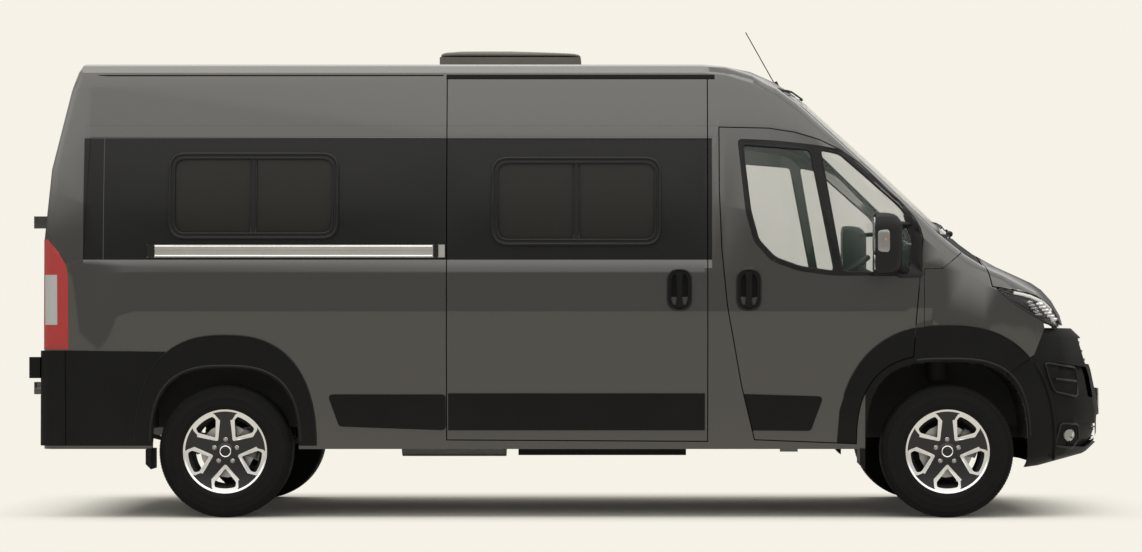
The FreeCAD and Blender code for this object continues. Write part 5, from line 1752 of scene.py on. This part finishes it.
@dataclass
class SideRail:
    """The guide rail's black ends and bright ribs, and black beads along the roof's gutters that paint their
    shade.
    """

    start: float = -2.384
    end: float = -0.757
    low: float = 1.456
    high: float = 1.527

    def build(self, maker: Maker, skin: Skin) -> None:
        """Makes the ends and the ribs.

        Args:
            maker: turns meshes into pieces.
            skin: the painted outside.
        """
        caps = [skin.laid(Side.RIGHT, rounded(rectangle(*box), 0.008), [], 0.03, 0.015, 0.016) for box in
            ((self.start, self.start + 0.042, self.low, self.high), (self.end - 0.03, self.end, self.low,
            self.high))]
        maker.solid("door_rail_ends", joined(caps), "smooth_plastic", bevel=0.0015)
        ribs = [skin.bead(Side.RIGHT, ((self.start + 0.044, z), (self.end - 0.034, z)), 0.009, 0.006,
            0.013, closed=False, spacing=0.1) for z in (self.low + 0.008, self.high - 0.01)]
        maker.solid("door_rail_ribs", joined(ribs), "machined")
        # painted shade: satin black beads laid along the roof gutters where the groove is in shade
        gutter_shade_beads = [skin.bead(side, ((-2.78, 2.48), (-0.735, 2.481)), 0.006, 0.004, 0.0, closed=False,
            spacing=0.08) for side in Side]
        maker.solid("roof_gutter_shade_beads", joined(gutter_shade_beads), "satin_black", smooth=60.0)


@dataclass
class ShutSeals:
    """Rubber seals behind the gaps round the doors, which keep light out of them."""

    depth: float = 0.062
    width: float = 0.04
    height: float = 0.014

    def front_door(self) -> Path:
        """The front door's outline.

        Returns:
            Its (x, z) points.
        """
        x = FRONT_AXLE_X
        points = [(x - 1.271, 1.832), (x - 1.272, 2.184), (x - 1.000, 2.178)]
        points += bend((x - 1.0, 2.178), (x - 0.69, 2.15), (x - 0.485, 1.98))
        points += bend((x - 0.233, 1.734), (x - 0.15, 1.65), (x - 0.14, 1.561))
        points += arch(x, 0.512, 0.916, 2.8, 105, 172, 14)
        return points + [(x - 0.511, 0.418), (x - 1.075, 0.44), (x - 1.148, 0.744), (x - 1.226, 1.185),
            (x - 1.257, 1.497)]

    def build(self, maker: Maker, skin: Skin) -> None:
        """Makes the seals round the front doors, the sliding door and the rear doors.

        Args:
            maker: turns meshes into pieces.
            skin: the painted outside.
        """
        for side in Side:
            maker.solid("front_door_seal_" + side.word, skin.bead(side, self.front_door(), self.width,
                self.height, -self.depth, spacing=0.05), "rubber_seal", smooth=60.0)
        slide = rectangle(-0.713, 0.746, 0.428, 2.466)
        maker.solid("sliding_door_seal", skin.bead(Side.RIGHT, slide, self.width, self.height,
            -self.depth, spacing=0.05), "rubber_seal", smooth=60.0)
        rear = rectangle(-0.883, 0.883, 0.557, 2.403)
        paths = [tube(skin.across(-1, rear, -self.depth), 0.03, 0.014, (-1.0, 0.0, 0.0), True),
            tube([skin.front(0.0, 0.57 + 1.82 * i / 30, -self.depth, -1) for i in range(31)], 0.045,
            0.014, (-1.0, 0.0, 0.0))]
        maker.solid("rear_door_seal", joined(paths), "rubber_seal", smooth=60.0)


@dataclass
class BumperDetails:
    """Rims and slats of the bumper's side vents, the fog lamps and the blank number plate."""

    upper: Outline = ((2.64, 0.866), (2.668, 0.771), (2.7, 0.703), (2.84, 0.672), (2.858, 0.735),
        (2.842, 0.837))
    lower: Outline = ((2.7, 0.399), (2.738, 0.524), (2.85, 0.518), (2.862, 0.43), (2.815, 0.383))

    def build(self, maker: Maker, skin: Skin) -> None:
        """Makes the details on both sides and the plate in the middle.

        Args:
            maker: turns meshes into pieces.
            skin: the painted outside.
        """
        for side in Side:
            parts = [skin.bead(side, rounded(vent, 0.02), 0.012, 0.01, 0.0) for vent in (self.upper,
                self.lower)]
            parts.append(skin.bead(side, ((2.695, 0.775), (2.775, 0.766), (2.832, 0.757)), 0.014, 0.012,
                0.012, closed=False))
            maker.solid("bumper_vent_rims_" + side.word, joined(parts), "smooth_plastic")
            lamp = skin.laid(side, circle(0.034, 28, (2.79, 0.456)), [], 0.015, 0.006, 0.012)
            maker.solid("fog_lamp_" + side.word, lamp, "frosted", bevel=0.002)
        plate = rounded(rectangle(-0.26, 0.26, 0.6, 0.71), 0.01)
        face = max(skin.front(y, z).x for y in (-0.25, -0.1, 0.0, 0.1, 0.25) for z in (0.6, 0.65, 0.71))
        face = min(face + 0.008, NOSE_X - 0.001)
        maker.solid("front_plate", closed_sheet(plate, [], 0.1, lambda y, z: Vector((face, y, z)),
            lambda y, z: Vector((face - 0.006, y, z))), "plate", bevel=0.001)
        radiator = block((2.7, -0.575, 0.37), (2.735, 0.575, 1.0), 12.0)
        maker.solid("radiator", radiator, "gloss_black", smooth=40.0)
        fin = block((2.733, -0.57, 0.378), (2.745, 0.57, 0.382), 3.0, 4, 12)
        maker.repeat("radiator_fins", fin, "dull_alloy", "body", 44, step=(0.0, 0.0, 0.0142))


@dataclass
class RearDetails:
    """The rear doors' handle, blank number plate, its lamp bar and the upper brake lamp."""

    def build(self, maker: Maker, skin: Skin) -> None:
        """Makes the pieces on the rear doors.

        Args:
            maker: turns meshes into pieces.
            skin: the painted outside.
        """
        plate = rounded(rectangle(0.13, 0.65, 0.965, 1.075), 0.01)
        maker.solid("rear_plate", skin.faced(-1, plate, [], 0.1, 0.004, 0.006), "plate", "rear_door_left",
            bevel=0.001)
        bar = rounded(rectangle(0.11, 0.67, 1.095, 1.15), 0.02)
        maker.solid("rear_lamp_bar", skin.faced(-1, bar, [], 0.05, 0.018, 0.02), "smooth_plastic",
            "rear_door_left", bevel=0.006)
        recess = rounded(rectangle(-0.235, -0.045, 1.085, 1.185), 0.03)
        maker.solid("rear_handle_plate", skin.faced(-1, recess, [], 0.05, 0.004, 0.006), "smooth_plastic",
            "rear_door_right", bevel=0.002)
        grip = [skin.front(y, 1.135, lift, -1) for y, lift in ((-0.215, 0.006), (-0.195, 0.022), (-0.14,
            0.027), (-0.085, 0.022), (-0.065, 0.006))]
        maker.solid("rear_handle", tube(grip, 0.03, 0.014, (-1.0, 0.0, 0.0), sides=14), "smooth_plastic",
            "rear_door_right")
        lamp = rounded(rectangle(-0.16, 0.16, 2.425, 2.452), 0.01)
        maker.solid("upper_brake_lamp", skin.faced(-1, lamp, [], 0.05, 0.01, 0.014), "red", bevel=0.003)
        for side in Side:
            frame = rounded([(side * y, z) for y, z in rectangle(0.15, 0.77, 1.47, 2.06)], 0.07, 8)
            seal = tube(skin.across(-1, frame, -0.002, 0.03), 0.02, 0.012, (-1.0, 0.0, 0.0), True)
            maker.solid("rear_glass_seal_" + side.word, seal, "rubber_seal", "rear_door_" + side.word)


@dataclass
class RoofVent:
    """A moulded lid with a raised middle and a rounded edge."""

    rear: float = -0.793
    front: float = 0.025
    half: float = 0.31
    base: float = 2.642
    height: float = 0.037

    def build(self, maker: Maker) -> None:
        """Makes the lid in the place of its plain solid.

        Args:
            maker: turns meshes into pieces.
        """
        rings = []
        for inset, rise in ((0.006, 0.0), (0.001, 0.003), (0.0, 0.008), (0.001, 0.014), (0.006, 0.02),
                (0.018, 0.0245), (0.05, 0.027), (0.056, 0.0275), (0.062, 0.031), (0.075, 0.0335),
                (0.15, 0.0358), (0.25, 0.0366)):
            half = (self.front - self.rear) / 2 - inset
            rings.append([Vector(((self.rear + self.front) / 2 + half * a, (self.half - inset) * b,
                self.base + rise * (1 - 0.28 * max(0.0, a)))) for a, b in soft_square(72, 0.25)])
        lid = maker.solid("vent_lid", loft(rings, caps=True), "white_plastic", "vent_lid", smooth=40.0)
        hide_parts("vent_lid")


@dataclass
class SteeringWheel:
    """A padded rim, three spokes and a boss on the column."""

    centre: Place = (1.6, 0.43, 1.38)
    axis: Place = (-0.55, 0.0, 0.835)
    radius: float = 0.192

    def build(self, maker: Maker) -> None:
        """Makes the wheel in the place of its plain solid.

        Args:
            maker: turns meshes into pieces.
        """
        centre, axis = Vector(self.centre), Vector(self.axis).normalized()
        across = Vector((0.0, 1.0, 0.0))
        rise = axis.cross(across)
        rim = tube([centre + across * a + rise * b for a, b in circle(self.radius, 56)], 0.028, 0.031,
            tuple(axis), True, 14)
        parts = [rim]
        for degrees in (0, 180, 270):
            turn = math.radians(degrees)
            out = across * math.cos(turn) + rise * math.sin(turn)
            parts.append(tube([centre + out * r - axis * sink for r, sink in ((0.04, 0.02), (0.09,
                0.016), (0.15, 0.007), (0.188, 0.0))], 0.044, 0.016, tuple(axis), sides=12, taper=0.75))
        boss = []
        for r, lift in ((0.02, 0.014), (0.05, 0.01), (0.066, 0.0), (0.07, -0.016), (0.06, -0.04),
                (0.04, -0.05)):
            boss.append([centre + axis * lift + across * (r * 1.15 * c) + rise * (r * s)
                for c, s in circle(1.0, 32)])
        parts.append(loft(boss, caps=True))
        parts.append(tube([centre - axis * 0.03, centre + Vector((0.09, 0.0, -0.08))], 0.062, 0.062, (0.0,
            1.0, 0.0), sides=20))
        wheel = maker.solid("steering_wheel", joined(parts), "cabin", smooth=45.0)
        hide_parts("steering_wheel")


def puffed(mesh: Mesh, cap: float, seams: Callable[[Vector], float]) -> Mesh:
    """Lets a closed form swell like a stuffed cover, then sews its seams in.

    Args:
        mesh: the slightly smaller form.
        cap: how far a point may move.
        seams: how deep a seam pulls a point in.

    Returns:
        The cover's mesh.
    """
    pad = placed("pad", plain_mesh("pad", mesh))
    again = pad.modifiers.new("even", "REMESH")
    again.mode, again.voxel_size = "VOXEL", 0.0065
    even = evaluated_mesh(pad)
    pad.modifiers.clear()
    pad.data = even
    start = [v.co.copy() for v in even.vertices]
    cloth = pad.modifiers.new("cloth", "CLOTH")
    cloth.settings.use_pressure, cloth.settings.uniform_pressure_force = True, 4.0
    cloth.settings.effector_weights.gravity = 0.0
    for frame in range(1, 21):
        bpy.context.scene.frame_set(frame)
    swollen = pad.evaluated_get(bpy.context.evaluated_depsgraph_get()).data
    for index, place in enumerate(start):
        move = swollen.vertices[index].co - place
        even.vertices[index].co = place + move * min(1.0, cap / max(move.length, 1e-9))
    pad.modifiers.clear()
    bpy.context.scene.frame_set(1)
    even.update()
    verts = [v.co - v.normal * seams(v.co) for v in even.vertices]
    faces = [tuple(p.vertices) for p in even.polygons]
    bpy.data.objects.remove(pad)
    return verts, faces


@dataclass
class Seats:
    """Two cloth seats with sewn covers, head rests and plastic stands."""

    places: tuple[float, ...] = (0.48, -0.48)
    half: float = 0.225
    lean: float = 0.085

    def cushion(self) -> Mesh:
        """The seat cushion about the middle of the seat, with two lengthwise seams.

        Returns:
            The cushion's mesh.
        """
        def seams(p: Vector) -> float:
            """The seams beside the middle and across the front."""
            side = 0.011 * math.exp(-((abs(p.y) - 0.15) / 0.009) ** 2)
            across = 0.009 * math.exp(-((p.x - 1.12) / 0.009) ** 2) * (abs(p.y) < 0.15)
            return max(side, across) * (p.z > 0.84)

        return puffed(block((0.822, -self.half + 0.012, 0.778), (1.282, self.half - 0.012, 0.882), 4.0,
            14, 44), 0.014, seams)

    def back(self) -> Mesh:
        """The back rest, leaning back and narrower at the top, with its sewn channels.

        Returns:
            The back rest's mesh.
        """
        verts, faces = block((0.0, -self.half + 0.01, 0.0), (0.088, self.half - 0.01, 0.53), 4.5, 18, 48)
        shape = [Vector((0.76 - self.lean * p.z / 0.53 + p.x, p.y * (1 - 0.16 * p.z / 0.53), 0.88 +
            p.z)) for p in verts]

        def seams(p: Vector) -> float:
            """The seams beside the middle and across it."""
            side = 0.011 * math.exp(-((abs(p.y) - 0.135) / 0.009) ** 2)
            across = 0.009 * math.exp(-((abs(p.z - 1.15) - 0.11) / 0.009) ** 2)
            front = p.x > 0.8 - self.lean * (p.z - 0.88) / 0.53
            return max(side, across * (abs(p.y) < 0.135)) * front

        return puffed((shape, faces), 0.013, seams)

    def head_rest(self) -> Mesh:
        """The head rest's pad."""
        return puffed(block((0.708, -0.118, 1.44), (0.778, 0.118, 1.548), 3.0, 12, 36), 0.009, lambda p:
            0.005 * math.exp(-((p.x - 0.743) / 0.006) ** 2))

    def build(self, maker: Maker) -> None:
        """Makes the seats in the place of their plain solids.

        Args:
            maker: turns meshes into pieces.
        """
        stands = []
        for y in self.places:
            stands.append(block((0.83, y - 0.195, 0.532), (1.23, y + 0.195, 0.775), 9.0, 10, 40))
            stands.append(block((0.845, y - 0.236, 0.75), (1.255, y - 0.214, 0.85), 5.0))
            stands.append(block((0.845, y + 0.214, 0.75), (1.255, y + 0.236, 0.85), 5.0))
            for post in (-0.055, 0.055):
                stands.append(tube([(0.738, y + post, 1.36), (0.742, y + post, 1.46)], 0.013, 0.013, (1.0,
                    0.0, 0.0), sides=14))
        base = maker.solid("seat_stands", joined(stands), "cabin", smooth=45.0)
        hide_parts("seats")
        for part, (verts, faces), fill in (("cushion", self.cushion(), 0.7), ("back", self.back(), 0.6),
                ("head_rest", self.head_rest(), 0.8)):
            for y, word in zip(self.places, ("left", "right")):
                made = maker.solid(f"seat_{part}_{word}", ([v + Vector((0.0, y, 0.0)) for v in verts],
                    faces), "cloth", smooth=80.0)


@dataclass
class Wipers:
    """The blades on the windscreen."""

    starts: tuple[float, ...] = (-0.56, 0.16)

    def build(self, maker: Maker, screen: Skin) -> None:
        """Makes a pivot, an arm, a rubber blade and its spine on each side.

        Args:
            maker: turns meshes into pieces.
            screen: the windscreen.
        """
        parts = []
        for start in self.starts:
            line = [(start + 0.14 + 0.56 * i / 12, 1.63 + 0.05 * i / 12) for i in range(13)]
            for lift, width, height in ((0.006, 0.005, 0.012), (0.014, 0.012, 0.008)):
                parts.append(tube([screen.front(y, z, lift) for y, z in line], width, height,
                    (1.0, 0.0, 0.9)))
            arm = [screen.front(start + 0.42 * i / 8, 1.592 + 0.064 * i / 8,
                0.016 + 0.005 * math.sin(math.pi * i / 8)) for i in range(9)]
            parts.append(tube(arm, 0.022, 0.01, (1.0, 0.0, 0.9), taper=0.55))
            parts.append(block(arm[0] - Vector((0.022, 0.022, 0.022)), arm[0] + Vector((0.018, 0.022, 0.012)),
                2.5))
        made = maker.solid("wipers", joined(parts), "smooth_plastic", smooth=45.0)
        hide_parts("wipers")


# Surroundings


@dataclass
class Studio:
    """The floor, the light and the camera at the photograph's angle."""

    backdrop: Colour = (0.922, 0.888, 0.8)
    daylight: Colour = (1.0, 0.985, 0.95)
    floor_tone: Colour = (0.8, 0.775, 0.705)
    soft_sky: Fade = (0.0, 0.42, 0.27, 1.05)
    gloss_sky: Fade = (0.1, 0.3, 0.32, 2.2)
    far_sky: Fade = (0.0, 0.35, 1.0, 0.42)
    plain_sky: Fade = (0.0, 1.0, 1.0, 1.0)
    overhead_watts: float = 190.0
    camera_place: Place = (0.256, -17.3, 1.112)
    focal_pixels: float = 2920.0
    principal: Span = (620.0, 319.0)
    picture: Span = (1142.0, 552.0)

    def build(self) -> None:
        """Makes all of the surroundings."""
        self.floor()
        self.world()
        self.lamps()
        self.camera()

    def floor(self) -> None:
        """A pale floor that keeps the van's shadow and fades into the background."""
        reach = 60.0
        corners = [(-reach, -reach, 0), (reach, -reach, 0), (reach, reach, 0), (-reach, reach, 0)]
        floor = placed("floor", plain_mesh("floor", (corners, [(0, 1, 2, 3)])))
        s = Shader("pale floor")
        x, y, z = s.axes()
        near = s.times(s.band(x, -3.0, 3.0, 0.45), s.band(y, -1.1, 1.2, 0.28))
        s.set(Base_Color=s.mix(near, (0.0, 0.0, 0.0), self.floor_tone), Roughness=0.9,
            Specular_IOR_Level=0.0, Emission_Strength=1.0)
        s.set(Emission_Color=s.mix(near, self.backdrop, (0.0, 0.0, 0.0)))
        floor.data.materials.append(s.material)

    def world(self) -> None:
        """The background for the eye, a bright sky for reflections and a soft one for the rest."""
        world = bpy.data.worlds.new("studio")
        bpy.context.scene.world = world
        world.use_nodes = True
        nodes = Nodes(world.node_tree)
        split = nodes.node("ShaderNodeSeparateXYZ", nodes.node("ShaderNodeTexCoord").outputs["Generated"])
        far = nodes.node("ShaderNodeMapRange", split.outputs[1], *self.far_sky).outputs[0]
        shades = []
        for colour, spread in ((self.daylight, self.soft_sky), (self.daylight, self.gloss_sky),
                (self.backdrop, self.plain_sky)):
            level = nodes.node("ShaderNodeMapRange", split.outputs[2], *spread).outputs[0]
            if spread is self.gloss_sky:
                level = nodes.times(level, far)
            shades.append(nodes.node("ShaderNodeBackground", (*colour, 1.0), level).outputs[0])
        soft, gloss, plain = shades
        rays = nodes.node("ShaderNodeLightPath").outputs
        result = soft
        for name, shade in (("Is Glossy Ray", gloss), ("Is Camera Ray", plain),
                ("Is Transmission Ray", plain)):
            result = nodes.node("ShaderNodeMixShader", rays[name], result, shade).outputs[0]
        nodes.put(nodes.tree.nodes["World Output"], 0, result)

    def lamps(self) -> None:
        """One large soft lamp overhead."""
        lamp = bpy.data.lights.new("overhead", "AREA")
        lamp.shape = "RECTANGLE"
        lamp.size, lamp.size_y = 9.0, 4.5
        lamp.energy = self.overhead_watts
        lamp.color = self.daylight
        obj = placed("overhead", lamp)
        obj.location = (0.0, -1.5, 7.0)
        obj.rotation_euler = Vector((0.0, 1.5, -6.0)).to_track_quat("-Z", "Y").to_euler()

    def camera(self) -> None:
        """A camera that looks straight at the right side, as the photograph does."""
        data = bpy.data.cameras.new("camera")
        width, height = self.picture
        data.sensor_width = 36.0
        data.lens = 36.0 * self.focal_pixels / width
        data.shift_x = (width / 2 - self.principal[0]) / width
        data.shift_y = (self.principal[1] - height / 2) / width
        camera = placed("camera", data)
        camera.location = self.camera_place
        camera.rotation_euler = (math.radians(90.0), 0.0, 0.0)
        bpy.context.scene.camera = camera


def main() -> None:
    """Builds the van's looks in order."""
    logging.basicConfig(level=logging.INFO, format="%(name)s: %(message)s")
    bpy.ops.object.select_all(action="SELECT")
    bpy.ops.object.delete()
    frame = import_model()
    scene = bpy.context.scene
    scene.view_settings.view_transform = "Standard"
    Studio().build()
    finishes = Finishes().build()
    CarriedNodes().dress(frame["nodes"], finishes)
    maker = Maker(finishes)
    for side in Side:
        for row, x, half, body in (("front", FRONT_AXLE_X, 0.905, "wheel_front_"), ("rear", REAR_AXLE_X,
                0.895, "wheel_rear_")):
            carrier = "knuckle_" + side.word if row == "front" else "body"
            Wheel(f"{row}_{side.word}", body + side.word, x, half, side, carrier=carrier).build(maker)
    nodes = frame["nodes"]
    doors, rear_doors = ("door_left", "door_right"), ("rear_door_left", "rear_door_right")
    painted = ("side_panels", "wings", "sliding_door", *doors, "window_frames", "cowl", "front_bumper")
    skin = Skin(nodes, painted)
    trims = Skin(nodes, (*painted, "body_trims", "door_trim_left", "door_trim_right", "sliding_door_trim",
        "rear_bumper"))
    screen = Skin(nodes, ("windscreen",))
    glazed = Skin(nodes, (*painted, "door_glass_left", "door_glass_right"))
    CabGlass().build(maker, glazed, screen)
    LivingWindows().build(maker, skin)
    ArchTrims().build(maker, trims)
    DoorHandles().build(maker, trims)
    Mirrors().build(maker, glazed)
    Headlamps().build(maker, Skin(nodes, ("headlamps",)))
    SideRail().build(maker, skin)
    ShutSeals().build(maker, Skin(nodes, ("side_panels", "wings", "sliding_door", *doors, "roof_panel",
        *rear_doors)))
    BumperDetails().build(maker, trims)
    RearDetails().build(maker, Skin(nodes, (*rear_doors, "roof_panel", "side_panels")))
    RoofVent().build(maker)
    SteeringWheel().build(maker)
    Seats().build(maker)
    Wipers().build(maker, screen)
    LOG.info("made %d pieces", maker.count)
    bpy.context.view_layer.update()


if __name__ == "__main__":
    main()
